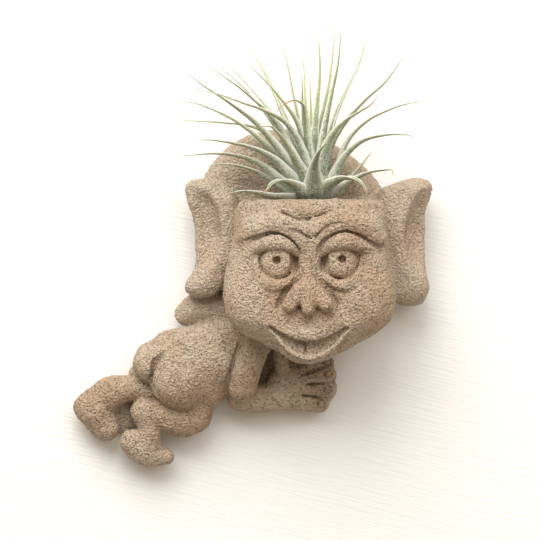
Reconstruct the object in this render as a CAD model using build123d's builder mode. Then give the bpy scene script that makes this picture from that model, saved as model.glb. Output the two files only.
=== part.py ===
from build123d import *
from math import asin, degrees
import os

# An air plant holder that hangs on a wall: a hand-built goblin in coarse unglazed stoneware.
# It lies on its front with its chin over one hand, its rump and soles towards the viewer,
# and the top of its head is a hollow that holds a tillandsia by its base.
# Each lump of clay is formed alone and luted to its neighbours, so each is a solid of its own
# that is cut to the faces it sits on. Left and right are the viewer's.
#
# Millimetres. The wall is the plane Y = 0 and the figure stands out from it towards -Y.
# +Z is up, +X is to the viewer's right, and the origin is the centre of the round entry
# in the hanger plate, where the head of the wall screw goes in.

# The whole figure
figure_width = 137.0
figure_height = 128.5
hanger_across_share = 0.582  # the hanger's place in the width, over the centre of mass
hanger_up_share = 0.793

# The head pot
head_width = 65.0
head_height = 62.5
head_depth = 46.0
head_across_share = 0.656
rim_up_share = 0.799
skull_width = 68.0
skull_height = 57.0
skull_thickness = 13.5
skull_round = 5.0

# The hollow for the plant
hollow_width = 46.0
hollow_length = 22.0  # from front to back
hollow_drop = 26.0
hollow_floor_width = 28.0
hollow_floor_length = 13.0
hollow_centre_depth = 25.0  # from the wall

# The eyes
eye_hollow_radius = 18.0
eye_hollow_drop = 3.0
eyeball_radius = 6.6
eyeball_proud = 1.0  # how far a ball stands out of the face
pupil_radius = 1.3
pupil_drop = 2.2
upper_lid_radius = 13.4
upper_lid_proud = 2.8
upper_lid_gap = 4.6  # from the eye's centre up to the lid's edge
lower_lid_radius = 20.0
lower_lid_proud = 1.6
lower_lid_gap = 6.0

# Brows, forehead, nose and mouth
brow_radius = 3.4
brow_sink = 1.8  # how far a brow is pressed into the forehead
cheek_hollow_radius = 14.0
cheek_hollow_drop = 1.4
fold_radius = 2.0
furrow_radius = 0.9
bridge_radius = 3.0
nose_radius = 5.2
nose_proud = 7.0
septum_radius = 3.4
wing_radius = 2.7
lip_proud = 3.4
lip_round = 1.6
lower_lip_radius = 1.9
mouth_sink = 2.2
tooth_gap = 0.8

# The ears
ear_standoff = 6.0  # clear of the wall
ear_thickness = 15.0
scoop_radius = 4.2

# Trunk, arms and legs: the radii at their ends and the distances of their axes from the wall
torso_radius = 13.6
torso_depth = 10.0
left_buttock_radius = 7.3
left_buttock_depth = 12.0
right_buttock_radius = 11.6
right_buttock_depth = 14.0
far_arm_radius = 5.5
far_arm_depth = 6.0
upper_arm_radius = 5.8
shoulder_depth = 17.0
elbow_depth = 13.0
wrist_radius = 5.2
palm_radius = 6.6
forearm_depth = 8.0
finger_radius = 2.7
finger_depth = 5.4
thumb_radius = 3.2
thumb_depth = 13.0
thigh_radius = 8.2
knee_radius = 6.4
thigh_depth = 8.0
right_calf_radius = 5.4
right_calf_depth = 12.0
right_heel_radius = 6.4
right_toe_radius = 4.0
right_foot_depth = 8.0
left_calf_radius = 5.8
left_calf_depth = 6.5
left_heel_radius = 7.0
left_toe_radius = 5.2
left_foot_depth = 8.0

# The keyhole hanger, its screws and their plugs
plate_width = 32.0
plate_height = 17.0
plate_thickness = 1.2
plate_fit = 0.2  # clearance round the plate in its recess
entry_radius = 4.5
slot_width = 4.6
slot_rise = 5.5
pocket_drop = 4.0
pocket_margin = 1.0
screw_spacing = 24.0
screw_radius = 1.2
screw_length = 7.0
screw_head_radius = 2.3
plug_radius = 2.2
plug_length = 8.0

# The tillandsia
plant_spread = 94.0
plant_height = 66.0
plant_reach = 50.0  # from the frontmost tip to the rearmost
bulb_radius = 8.2
bulb_height = 12.0
bulb_taper = 12  # degrees
stub_radius = 4.6
stub_tip_radius = 2.4
stub_clearance = 0.3  # between the stub's tip and the floor of the hollow
leaf_width = 6.4
leaf_thickness = 1.6

cut_overrun = 2.0  # how far a cut runs past the face that it opens

right_angle = 90
wall = Plane.XZ


def at(across_share, up_share, depth):
    """A place in the figure: shares of its width and height, and a distance from the wall."""
    return Vector(
        (across_share - hanger_across_share) * figure_width,
        -depth,
        (up_share - hanger_up_share) * figure_height,
    )


rim_centre = at(head_across_share, rim_up_share, 0)


def on_head(across_share, down_share, depth):
    """A place on the head: shares of its width from the middle and of its height from the rim."""
    return rim_centre + Vector(across_share * head_width, -depth, -down_share * head_height)


def flat(place):
    """The two coordinates of a place in a sketch that lies parallel to the wall."""
    return (place.X, place.Z)


def limb(start, end, start_radius, end_radius):
    """A lump rolled in the hands: two balls joined by the cone that touches both."""
    run = end - start
    side = run.cross(Vector(0, 1, 0)).normalized()
    taper = degrees(asin((start_radius - end_radius) / run.length))
    with BuildPart() as made:
        with BuildSketch(Plane(origin=start, x_dir=run, z_dir=run.cross(side))):
            with BuildLine():
                heel = CenterArc((0, 0), start_radius, right_angle - taper, right_angle + taper)
                toe = CenterArc((run.length, 0), end_radius, 0, right_angle - taper)
                Line(heel @ 0, toe @ 1)
                Line(heel @ 1, toe @ 0)
            make_face()
        revolve(axis=Axis(start, run))
    return made.part


def coil(start, middle, end, radius):
    """A roll of clay of one thickness, bent through three places, with ball ends."""
    with BuildPart() as made:
        with BuildLine():
            bend = ThreePointArc(start, middle, end)
        with BuildSketch(Plane(origin=bend @ 0, z_dir=bend % 0)):
            Circle(radius)
        sweep()
        with Locations(start, end):
            Sphere(radius)
    return made.part


def ball(centre, radius):
    """A ball of clay."""
    with BuildPart() as made:
        with Locations(centre):
            Sphere(radius)
    return made.part


def luted(form, *seats):
    """The form cut flat by the wall and hollowed to fit the faces that it is luted to."""
    with BuildPart() as made:
        add(form)
        split(bisect_by=wall, keep=Keep.TOP)
        for seat in seats:
            add(seat, mode=Mode.SUBTRACT)
    return made.part.solids().sort_by(SortBy.VOLUME)[-1]


def finish(name, *solids):
    """Label a finished piece and write it."""
    with BuildPart() as piece:
        add(solids)
    piece.part.label = name
    export_step(piece.part, f"parts/{name}.step")
    return piece.part


os.makedirs("parts", exist_ok=True)

# The head form: the face's outline, drawn at each distance from the wall and lofted forwards.
half_outline_shares = [
    (0.80, 0.0), (0.88, 0.22), (0.97, 0.45), (1.0, 0.60),
    (0.92, 0.74), (0.62, 0.87), (0.25, 0.97),
]
# Distance from the wall, then the outline's width and height there, as shares of the head.
slice_shares = [
    (0.0, 0.80, 0.74), (0.35, 0.93, 0.88), (0.65, 1.0, 0.97),
    (0.86, 0.96, 1.0), (0.96, 0.80, 0.95), (1.0, 0.58, 0.86),
]
with BuildPart() as head_block:
    for depth_share, width_share, height_share in slice_shares:
        right = [
            flat(on_head(across * width_share / 2, down * height_share, 0))
            for across, down in half_outline_shares
        ]
        left = [
            flat(on_head(-across * width_share / 2, down * height_share, 0))
            for across, down in reversed(half_outline_shares)
        ]
        with BuildSketch(wall.offset(depth_share * head_depth)):
            with BuildLine():
                jaw = Spline(*right, flat(on_head(0, height_share, 0)), *left)
                Line(jaw @ 1, jaw @ 0)
            make_face()
    loft()

# The skull's back: a thick disc against the wall that rises behind the plant.
skull_centre_shares = (-0.082, 0.043)
with BuildPart() as skull_disc:
    with BuildSketch(wall):
        with Locations(flat(on_head(*skull_centre_shares, 0))):
            Ellipse(skull_width / 2, skull_height / 2)
    extrude(amount=skull_thickness)
    fillet(skull_disc.faces().sort_by(Axis.Y)[0].edges(), skull_round)

# The face: a broad hollow pressed round each eye and a slighter one beside the nose.
left_eye_shares = (-0.193, 0.389)
right_eye_shares = (0.193, 0.383)
cheek_hollow_shares = [(-0.19, 0.67), (0.19, 0.67)]
eye_hollow_depth = head_depth - eye_hollow_drop + eye_hollow_radius
cheek_hollow_depth = head_depth - cheek_hollow_drop + cheek_hollow_radius
with BuildPart() as head_form:
    add(head_block.part)
    add(skull_disc.part)
    for shares in (left_eye_shares, right_eye_shares):
        add(ball(on_head(*shares, eye_hollow_depth), eye_hollow_radius), mode=Mode.SUBTRACT)
    for shares in cheek_hollow_shares:
        add(ball(on_head(*shares, cheek_hollow_depth), cheek_hollow_radius), mode=Mode.SUBTRACT)
head = head_form.part

# The eyes: a ball each in a round socket, with a blind hole for the pupil.
pupil_lift_share = 0.03  # the pupils sit a little above the middle of the balls
eyeball_depth = head_depth + eyeball_proud - eyeball_radius
upper_lid_depth = head_depth + upper_lid_proud - upper_lid_radius
lower_lid_depth = head_depth + lower_lid_proud - lower_lid_radius


def eyeball(across_share, down_share):
    """An eyeball with its pupil bored from the front."""
    centre = on_head(across_share, down_share, eyeball_depth)
    pupil = on_head(across_share, down_share - pupil_lift_share, 0)
    with BuildPart() as made:
        with Locations(centre):
            Sphere(eyeball_radius)
        with BuildSketch(wall.offset(head_depth + eyeball_proud - pupil_drop)):
            with Locations(flat(pupil)):
                Circle(pupil_radius)
        extrude(amount=pupil_drop + cut_overrun, mode=Mode.SUBTRACT)
    return made.part


def upper_lid(across_share, down_share):
    """The cap of clay over an eye: the part of a large ball above the lid's edge."""
    centre = on_head(across_share, down_share, upper_lid_depth)
    with BuildPart() as made:
        with Locations(centre):
            Sphere(upper_lid_radius)
        split(bisect_by=Plane(centre + Vector(0, 0, upper_lid_gap)), keep=Keep.TOP)
    return made.part


def lower_lid(across_share, down_share):
    """The bag under an eye: the part of a flatter ball below the lid's edge."""
    centre = on_head(across_share, down_share, lower_lid_depth)
    with BuildPart() as made:
        with Locations(centre):
            Sphere(lower_lid_radius)
        split(bisect_by=Plane(centre - Vector(0, 0, lower_lid_gap)), keep=Keep.BOTTOM)
        split(bisect_by=wall.offset(eyeball_depth), keep=Keep.TOP)
    return made.part


sockets = [
    ball(on_head(*shares, eyeball_depth), eyeball_radius)
    for shares in (left_eye_shares, right_eye_shares)
]
left_eyeball = finish("left_eyeball", eyeball(*left_eye_shares))
right_eyeball = finish("right_eyeball", eyeball(*right_eye_shares))
left_upper_lid = finish(
    "left_upper_lid", luted(upper_lid(*left_eye_shares), head, sockets[0])
)
right_upper_lid = finish(
    "right_upper_lid", luted(upper_lid(*right_eye_shares), head, sockets[1])
)
left_lower_lid = finish(
    "left_lower_lid", luted(lower_lid(*left_eye_shares), head, sockets[0])
)
right_lower_lid = finish(
    "right_lower_lid", luted(lower_lid(*right_eye_shares), head, sockets[1])
)

# Brows and the frowning fold between them: coils pressed on, cut back by the lids.
left_brow_shares = [(-0.38, 0.243), (-0.222, 0.17), (-0.041, 0.243)]
right_brow_shares = [(0.047, 0.243), (0.222, 0.17), (0.421, 0.262)]
fold_shares = [(-0.135, 0.15), (-0.012, 0.205), (0.135, 0.135)]
furrow_shares = [(-0.152, 0.091), (-0.05, 0.13), (0.085, 0.085)]


def along_face(shares, depths):
    """Three places across the face, each at its own distance from the wall."""
    return [on_head(*place, depth) for place, depth in zip(shares, depths)]


brow_depth = head_depth - brow_sink
brow_end_depth = head_depth - brow_radius
left_brow_form = coil(
    *along_face(left_brow_shares, (brow_end_depth, brow_depth, brow_depth)), brow_radius
)
right_brow_form = coil(
    *along_face(right_brow_shares, (brow_depth, brow_depth, brow_end_depth)), brow_radius
)
left_brow = finish("left_brow", luted(left_brow_form, head, left_upper_lid))
right_brow = finish("right_brow", luted(right_brow_form, head, right_upper_lid, left_brow))
fold_form = coil(*along_face(fold_shares, [head_depth] * 3), fold_radius)
frown_fold = finish("frown_fold", luted(fold_form, head, left_brow, right_brow))
furrow = coil(*along_face(furrow_shares, [head_depth] * 3), furrow_radius)

# The nose: a bridge that swells to a bulb, with the septum and two wings drawn down from it.
bridge_shares = (0.003, 0.33)
bulb_shares = (-0.004, 0.553)
septum_shares = (0.0, 0.644)
left_wing_shares = (-0.108, 0.644)
right_wing_shares = (0.105, 0.64)
nose_depth = head_depth + nose_proud - nose_radius
bulb_centre = on_head(*bulb_shares, nose_depth)
bridge_top = on_head(*bridge_shares, head_depth - bridge_radius / 2)
septum_end = on_head(*septum_shares, nose_depth)
with BuildPart() as nose_form:
    add(limb(bridge_top, bulb_centre, bridge_radius, nose_radius))
    add(limb(bulb_centre, septum_end, nose_radius, septum_radius))
    for wing_shares in (left_wing_shares, right_wing_shares):
        add(limb(bulb_centre, on_head(*wing_shares, head_depth), nose_radius, wing_radius))
nose = finish("nose", luted(nose_form.part, head, *sockets))

# The mouth: a smile cut into the face between an upper lip that juts out and a lower lip coil.
left_corner_shares = (-0.193, 0.79)
right_corner_shares = (0.216, 0.784)
lip_line_shares = (0.009, 0.86)
lip_top_shares = (0.006, 0.672)
left_lower_lip_shares = (-0.17, 0.838)
right_lower_lip_shares = (0.199, 0.838)
lower_lip_middle_shares = (-0.006, 0.955)
tooth_gap_shares = (-0.023, 0.9)

with BuildPart() as upper_lip_form:
    with BuildSketch(wall.offset(head_depth - lip_proud)):
        with BuildLine():
            corners = [flat(on_head(*left_corner_shares, 0)), flat(on_head(*right_corner_shares, 0))]
            ThreePointArc(corners[0], flat(on_head(*lip_line_shares, 0)), corners[1])
            ThreePointArc(corners[0], flat(on_head(*lip_top_shares, 0)), corners[1])
        make_face()
    extrude(amount=2 * lip_proud)
    fillet(upper_lip_form.faces().sort_by(Axis.Y)[0].edges(), lip_round)
upper_lip = finish("upper_lip", luted(upper_lip_form.part, head, nose))

lower_lip_depths = [head_depth - lower_lip_radius, head_depth - 2 * lower_lip_radius]
lower_lip_form = coil(
    on_head(*left_lower_lip_shares, lower_lip_depths[0]),
    on_head(*lower_lip_middle_shares, lower_lip_depths[1]),
    on_head(*right_lower_lip_shares, lower_lip_depths[0]),
    lower_lip_radius,
)
lower_lip = finish("lower_lip", luted(lower_lip_form, head, upper_lip))

with BuildPart() as mouth_cut:
    with BuildSketch(wall.offset(head_depth - mouth_sink)):
        with BuildLine():
            left_end = flat(on_head(*left_lower_lip_shares, 0))
            right_end = flat(on_head(*right_lower_lip_shares, 0))
            ThreePointArc(left_end, flat(on_head(*lower_lip_middle_shares, 0)), right_end)
            ThreePointArc(left_end, flat(on_head(*lip_line_shares, 0)), right_end)
        make_face()
    extrude(amount=mouth_sink + cut_overrun)
    with BuildSketch(wall.offset(head_depth - 2 * mouth_sink)):
        with Locations(flat(on_head(*tooth_gap_shares, 0))):
            Rectangle(tooth_gap, 2 * mouth_sink)
    extrude(amount=mouth_sink)

# The hollow: an oval well that narrows to a flat floor.
with BuildPart() as hollow:
    well_centre = (rim_centre.X, -hollow_centre_depth)
    with BuildSketch(Plane.XY.offset(rim_centre.Z - hollow_drop)):
        with Locations(well_centre):
            Ellipse(hollow_floor_width / 2, hollow_floor_length / 2)
    with BuildSketch(Plane.XY.offset(rim_centre.Z)):
        with Locations(well_centre):
            Ellipse(hollow_width / 2, hollow_length / 2)
    loft()
    extrude(hollow.faces().sort_by(Axis.Z)[-1], amount=cut_overrun)

# The hanger: an oval plate with a keyhole, let into the back of the skull with two screws.
plug_places = [(-screw_spacing / 2, slot_rise / 2), (screw_spacing / 2, slot_rise / 2)]
plate_centre = (0, slot_rise / 2)


def keyhole(margin):
    """The keyhole's outline: a round entry and a slot that rises from it, let out by a margin."""
    with BuildSketch() as outline:
        Circle(entry_radius + margin)
        with Locations((0, slot_rise / 2)):
            Rectangle(slot_width + 2 * margin, slot_rise)
        with Locations((0, slot_rise)):
            Circle(slot_width / 2 + margin)
    return outline.sketch


with BuildPart() as screw_heads:
    for across, up in plug_places:
        with BuildSketch(wall):
            with Locations((across, up)):
                Circle(screw_head_radius)
        with BuildSketch(wall.offset(plate_thickness)):
            with Locations((across, up)):
                Circle(screw_radius)
        loft()

with BuildPart() as plate:
    with BuildSketch(wall):
        with Locations(plate_centre):
            SlotOverall(plate_width, plate_height)
        add(keyhole(0), mode=Mode.SUBTRACT)
    extrude(amount=plate_thickness)
    add(screw_heads.part, mode=Mode.SUBTRACT)
keyhole_hanger = finish("keyhole_hanger", plate.part)

with BuildPart() as hanger_recess:
    with BuildSketch(wall):
        with Locations(plate_centre):
            SlotOverall(plate_width + 2 * plate_fit, plate_height + 2 * plate_fit)
    extrude(amount=plate_thickness)
    with BuildSketch(wall.offset(plate_thickness)):
        add(keyhole(pocket_margin))
    extrude(amount=pocket_drop)
    with BuildSketch(wall.offset(plate_thickness)):
        with Locations(plug_places):
            Circle(plug_radius)
    extrude(amount=plug_length)

with BuildPart() as plugs:
    with BuildSketch(wall.offset(plate_thickness)):
        with Locations(plug_places):
            Circle(plug_radius)
            Circle(screw_radius, mode=Mode.SUBTRACT)
    extrude(amount=plug_length)
screw_plugs = finish("screw_plugs", *plugs.part.solids())

with BuildPart() as screws:
    add(screw_heads.part)
    with BuildSketch(wall.offset(plate_thickness)):
        with Locations(plug_places):
            Circle(screw_radius)
    extrude(amount=screw_length - plate_thickness)
hanger_screws = finish("hanger_screws", *screws.part.solids())

with BuildPart() as pot:
    add(head)
    for cut in (hollow.part, mouth_cut.part, furrow, hanger_recess.part, *sockets):
        add(cut, mode=Mode.SUBTRACT)
head_pot = finish("head_pot", pot.part)

# The ears: slabs cupped by a thumb, stuck to the sides of the head clear of the wall.
left_ear_shares = [
    (-0.71, -0.08), (-0.58, -0.11), (-0.44, -0.02), (-0.42, 0.30), (-0.48, 0.51),
    (-0.60, 0.61), (-0.70, 0.55), (-0.665, 0.40), (-0.65, 0.18), (-0.68, 0.03),
]
right_ear_shares = [
    (0.44, -0.04), (0.55, -0.11), (0.68, -0.115), (0.725, -0.05), (0.695, 0.08),
    (0.68, 0.29), (0.70, 0.50), (0.60, 0.655), (0.51, 0.60), (0.46, 0.38),
]
left_scoop_shares = [(-0.65, -0.02), (-0.575, 0.16), (-0.59, 0.36)]
right_scoop_shares = [(0.66, -0.01), (0.605, 0.16), (0.61, 0.40)]
ear_front = ear_standoff + ear_thickness
# Distance through the slab, then the size of the outline there, as shares.
ear_slice_shares = [(0.0, 0.84), (0.3, 1.0), (0.75, 0.96), (1.0, 0.72)]


def ear(outline_shares, scoop_shares):
    """An ear from a rounded slab, hollowed along its length by a thumb."""
    outline = [on_head(*place, 0) for place in outline_shares]
    centre = sum(outline, Vector()) / len(outline)
    with BuildPart() as made:
        for through_share, size_share in ear_slice_shares:
            with BuildSketch(wall.offset(ear_standoff + through_share * ear_thickness)):
                with BuildLine():
                    Spline(
                        [flat(centre + (place - centre) * size_share) for place in outline],
                        periodic=True,
                    )
                make_face()
        loft()
        add(coil(*along_face(scoop_shares, [ear_front] * 3), scoop_radius), mode=Mode.SUBTRACT)
    return made.part


left_ear = finish("left_ear", luted(ear(left_ear_shares, left_scoop_shares), head))
right_ear = finish("right_ear", luted(ear(right_ear_shares, right_scoop_shares), head))

# The trunk and limbs, each luted to what was laid before it: where each starts and ends.
torso_shares = [(0.494, 0.423), (0.328, 0.32)]
far_arm_shares = [(0.417, 0.459), (0.328, 0.464)]
left_buttock_shares = [(0.261, 0.343), (0.228, 0.314)]
right_buttock_shares = [(0.356, 0.29), (0.303, 0.266)]
right_thigh_shares = [(0.328, 0.163), (0.244, 0.169)]
right_calf_shares = [(0.197, 0.166), (0.225, 0.083)]
right_foot_shares = [(0.181, 0.08), (0.25, 0.033)]
left_calf_shares = [(0.217, 0.246), (0.119, 0.219)]
left_foot_shares = [(0.053, 0.189), (0.092, 0.118)]
upper_arm_shares = [(0.5, 0.373), (0.475, 0.228)]
forearm_shares = [(0.483, 0.21), (0.611, 0.234)]
finger_shares = [
    [(0.625, 0.275), (0.703, 0.305)],
    [(0.633, 0.251), (0.711, 0.266)],
    [(0.633, 0.228), (0.714, 0.226)],
    [(0.628, 0.201), (0.689, 0.186)],
]
thumb_shares = [(0.575, 0.266), (0.586, 0.32)]


def lump(place_shares, depths, radii):
    """A limb between two places in the figure."""
    start, end = [at(*place, depth) for place, depth in zip(place_shares, depths)]
    return limb(start, end, *radii)


torso_form = lump(torso_shares, [torso_depth] * 2, [torso_radius] * 2)
torso = finish("torso", luted(torso_form, head))
far_arm_form = lump(far_arm_shares, [far_arm_depth] * 2, [far_arm_radius] * 2)
far_arm = finish("far_arm", luted(far_arm_form, head, left_ear, torso))
left_buttock_form = lump(
    left_buttock_shares, [left_buttock_depth] * 2, [left_buttock_radius] * 2
)
left_buttock = finish("left_buttock", luted(left_buttock_form, torso))
right_buttock_form = lump(
    right_buttock_shares, [right_buttock_depth] * 2, [right_buttock_radius] * 2
)
right_buttock = finish("right_buttock", luted(right_buttock_form, torso, left_buttock))
rump = [torso, left_buttock, right_buttock]

right_thigh_form = lump(right_thigh_shares, [thigh_depth] * 2, [thigh_radius, knee_radius])
right_thigh = finish("right_thigh", luted(right_thigh_form, *rump))
right_calf_form = lump(
    right_calf_shares, [right_calf_depth, right_foot_depth], [right_calf_radius] * 2
)
right_calf = finish("right_calf", luted(right_calf_form, *rump, right_thigh))
right_foot_form = lump(
    right_foot_shares, [right_foot_depth] * 2, [right_heel_radius, right_toe_radius]
)
right_foot = finish("right_foot", luted(right_foot_form, right_thigh, right_calf))
left_calf_form = lump(left_calf_shares, [left_calf_depth] * 2, [left_calf_radius] * 2)
left_calf = finish("left_calf", luted(left_calf_form, *rump, right_thigh, right_calf))
left_foot_form = lump(
    left_foot_shares, [left_foot_depth] * 2, [left_heel_radius, left_toe_radius]
)
left_foot = finish("left_foot", luted(left_foot_form, left_calf, right_foot))

upper_arm_form = lump(upper_arm_shares, [shoulder_depth, elbow_depth], [upper_arm_radius] * 2)
upper_arm = finish("upper_arm", luted(upper_arm_form, head, torso, right_buttock))
forearm_form = lump(forearm_shares, [forearm_depth] * 2, [wrist_radius, palm_radius])
forearm = finish("forearm", luted(forearm_form, torso, right_buttock, upper_arm))

# Four fingers fan out under the chin and the thumb props it up from the left.
laid = [head, forearm]
for finger_number, shares in enumerate(finger_shares, start=1):
    finger_form = lump(shares, [finger_depth] * 2, [finger_radius] * 2)
    laid.append(finish(f"finger_{finger_number}", luted(finger_form, *laid)))
thumb_form = lump(thumb_shares, [forearm_depth, thumb_depth], [thumb_radius] * 2)
thumb = finish("thumb", luted(thumb_form, torso, upper_arm, *laid))

# The tillandsia: a dry stub in the hollow, and a bulb above the rim with its rosette of leaves.
plant_across_share = 0.02
plant_base = on_head(plant_across_share, 0, hollow_centre_depth)
floor_height = rim_centre.Z - hollow_drop

with BuildPart() as stub:
    with BuildSketch(Plane(plant_base)):
        Circle(stub_radius)
    with BuildSketch(Plane((plant_base.X, plant_base.Y, floor_height + stub_clearance))):
        Circle(stub_tip_radius)
    loft()
root_stub = finish("root_stub", stub.part)

# Each leaf: its tip across, up and out from the base, as shares of the plant's spread, height
# and reach; how far its bow rises and spreads, as shares of the way to the tip; its girth, as
# a share of the full leaf; and how far up the bulb it is rooted.
leaf_shares = [
    (0.03, 0.95, -0.10, 0.50, 0.10, 0.80, 0.6),
    (0.09, 1.00, -0.20, 0.45, 0.15, 0.80, 0.6),
    (0.115, 0.975, 0.12, 0.50, 0.20, 0.85, 0.6),
    (0.22, 0.95, -0.22, 0.50, 0.22, 0.80, 0.5),
    (0.37, 0.82, 0.20, 0.48, 0.20, 0.90, 0.4),
    (0.26, 0.57, 0.46, 0.60, 0.20, 1.00, 0.3),
    (0.45, 0.55, -0.06, 0.83, 0.30, 0.90, 0.3),
    (0.41, 0.34, 0.20, 1.00, 0.38, 1.00, 0.2),
    (0.24, 0.26, -0.14, 0.60, 0.40, 0.80, 0.1),
    (0.33, 0.16, 0.05, 0.90, 0.40, 0.90, 0.1),
    (0.22, 0.02, 0.40, 4.50, 0.45, 0.80, 0.1),
    (0.06, 0.31, 0.42, 0.90, 0.05, 1.30, 0.1),
    (-0.21, 0.40, 0.46, 1.05, 0.30, 1.10, 0.2),
    (-0.25, 0.75, 0.28, 0.60, 0.25, 0.90, 0.5),
    (-0.14, 0.49, 0.44, 1.30, 0.20, 0.90, 0.3),
    (-0.04, 0.72, 0.20, 0.50, 0.10, 0.70, 0.7),
    (-0.04, 0.84, -0.28, 0.50, 0.20, 0.70, 0.6),
    (-0.01, 0.71, -0.38, 0.60, 0.20, 0.70, 0.4),
    (-0.125, 0.89, -0.16, 0.50, 0.20, 0.80, 0.5),
    (-0.26, 0.875, -0.08, 0.45, 0.20, 0.80, 0.5),
    (-0.23, 0.84, -0.30, 0.55, 0.25, 0.80, 0.4),
    (-0.34, 0.78, -0.20, 0.50, 0.25, 0.80, 0.4),
    (-0.385, 0.76, 0.06, 0.50, 0.28, 0.80, 0.4),
    (-0.405, 0.74, 0.24, 0.50, 0.30, 0.90, 0.4),
    (-0.50, 0.70, 0.36, 0.50, 0.28, 1.00, 0.3),
    (-0.49, 0.62, 0.42, 0.80, 0.30, 0.90, 0.3),
    (-0.53, 0.56, 0.10, 0.65, 0.33, 0.90, 0.3),
    (-0.43, 0.52, -0.24, 0.70, 0.35, 0.90, 0.3),
    (-0.55, 0.45, -0.02, 0.85, 0.35, 0.90, 0.2),
    (-0.46, 0.32, 0.32, 1.00, 0.42, 1.00, 0.1),
    (-0.52, 0.24, 0.16, 1.20, 0.40, 1.00, 0.1),
    (-0.43, 0.18, -0.10, 1.20, 0.40, 0.90, 0.1),
    (-0.345, 0.03, 0.34, 3.50, 0.50, 1.00, 0.1),
    (-0.21, 0.02, 0.44, 6.00, 0.50, 0.90, 0.1),
]
# Along each leaf, then its width and thickness there, as shares of the root's.
leaf_section_shares = [
    (0.0, 1.0, 1.0), (0.2, 0.84, 0.88), (0.45, 0.52, 0.62), (0.72, 0.26, 0.4), (1.0, 0.08, 0.2),
]
root_ring_share = 0.45  # the roots' ring, in the bulb's radius
channel_share = 0.3  # the hollow of the leaf's upper face, in its thickness


def leaf(across_share, up_share, out_share, rise_share, spread_share, girth_share, root_share):
    """One channelled leaf that tapers along a bow from the bulb to its tip."""
    out = Vector(across_share * plant_spread, -out_share * plant_reach, 0)
    up = Vector(0, 0, up_share * plant_height)
    root = out.normalized() * bulb_radius * root_ring_share
    lift = Vector(0, 0, root_share * bulb_height)
    side = Vector(0, 0, 1).cross(out)
    with BuildPart() as made:
        with BuildLine():
            bow = Bezier(
                plant_base + root + lift,
                plant_base + root + lift + (out - root) * spread_share + up * rise_share,
                plant_base + out + up,
            )
        for along_share, width_share, thickness_share in leaf_section_shares:
            half_width = leaf_width * girth_share * width_share / 2
            thickness = leaf_thickness * thickness_share
            with BuildSketch(Plane(origin=bow @ along_share, x_dir=side, z_dir=bow % along_share)):
                with BuildLine():
                    Polyline(
                        (-half_width, 0), (0, -thickness), (half_width, 0),
                        (0, -thickness * channel_share), close=True,
                    )
                make_face()
        loft(ruled=True)
    return made.part


with BuildPart() as rosette:
    with BuildSketch(Plane(plant_base)):
        Circle(bulb_radius)
    extrude(amount=bulb_height, taper=bulb_taper)
    add([leaf(*shares) for shares in leaf_shares])
    split(bisect_by=Plane(plant_base), keep=Keep.TOP)
leaf_rosette = finish("leaf_rosette", rosette.part)
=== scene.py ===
import math

import bpy
import numpy as np
import openvdb
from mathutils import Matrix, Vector


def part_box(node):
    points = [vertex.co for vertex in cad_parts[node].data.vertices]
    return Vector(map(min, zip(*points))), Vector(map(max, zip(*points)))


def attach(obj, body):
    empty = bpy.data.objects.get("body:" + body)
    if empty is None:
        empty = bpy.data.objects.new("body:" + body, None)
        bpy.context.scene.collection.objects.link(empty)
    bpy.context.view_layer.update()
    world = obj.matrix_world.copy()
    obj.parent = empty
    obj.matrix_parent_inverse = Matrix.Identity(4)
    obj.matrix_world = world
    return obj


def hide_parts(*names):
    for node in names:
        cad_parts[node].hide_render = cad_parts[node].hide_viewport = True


bl_info = {
    "name": "Goblin air plant holder",
    "version": (1, 0, 0),
    "blender": (4, 5, 0),
    "location": "View3D > Sidebar > Holder",
    "description": "Shapes and finishes a hand-built stoneware goblin that holds an air plant on a wall",
    "category": "Object",
}

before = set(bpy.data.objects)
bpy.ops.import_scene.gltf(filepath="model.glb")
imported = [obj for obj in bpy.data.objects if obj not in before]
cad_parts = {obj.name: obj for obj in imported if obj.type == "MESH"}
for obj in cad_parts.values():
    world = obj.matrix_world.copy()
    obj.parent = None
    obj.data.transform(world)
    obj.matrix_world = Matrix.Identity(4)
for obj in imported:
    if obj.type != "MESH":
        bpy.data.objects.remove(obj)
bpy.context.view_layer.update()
MM = 0.001

# The clay is shaped in millimetres in the frame's own axes: the wall is the plane Y = 0 and the
# figure stands out from it towards -Y. Depth is the distance from the wall. Left and right are
# the viewer's.


def node_box(name):
    """A node's lowest and highest corners, in millimetres."""
    low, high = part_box(name)
    return np.array(low) / MM, np.array(high) / MM


def node_centre(name):
    """The middle of a node's box, in millimetres."""
    low, high = node_box(name)
    return (low + high) / 2


# What the frame gives: the figure's corners, the head's middle, rim and height, and the hollow.
FIGURE_LOW = np.array([node_box("left_foot")[0][0], node_box("right_foot")[0][2]])
FIGURE_HIGH = np.array([node_box("right_ear")[1][0], node_box("head_pot")[1][2]])
HEAD_MIDDLE = (node_centre("left_eyeball")[0] + node_centre("right_eyeball")[0]) / 2
RIM_HEIGHT = node_box("root_stub")[1][2]
HEAD_HEIGHT = RIM_HEIGHT - node_box("head_pot")[0][2]
HEAD_DEPTH = -node_box("head_pot")[0][1]
HOLLOW_MIDDLE = node_centre("root_stub")


def amount(name, description, value, **more):
    """A number that a user may change."""
    return bpy.props.FloatProperty(
        name=name, description=description, default=value, min=0.0, **more
    )


def length(name, description, millimetres):
    """A size that a user may change."""
    return amount(name, description, millimetres * MM, precision=5, unit="LENGTH")


def linear(hex_colour):
    """An sRGB hex colour as linear red, green and blue."""
    parts = [int(hex_colour[i:i + 2], 16) / 255 for i in (1, 3, 5)]
    return [p / 12.92 if p <= 0.04045 else ((p + 0.055) / 1.055) ** 2.4 for p in parts]


def colour(name, description, hex_colour):
    """A colour that a user may change."""
    return bpy.props.FloatVectorProperty(
        name=name, description=description, default=linear(hex_colour), size=3,
        min=0.0, max=1.0, subtype="COLOR",
    )


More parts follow.
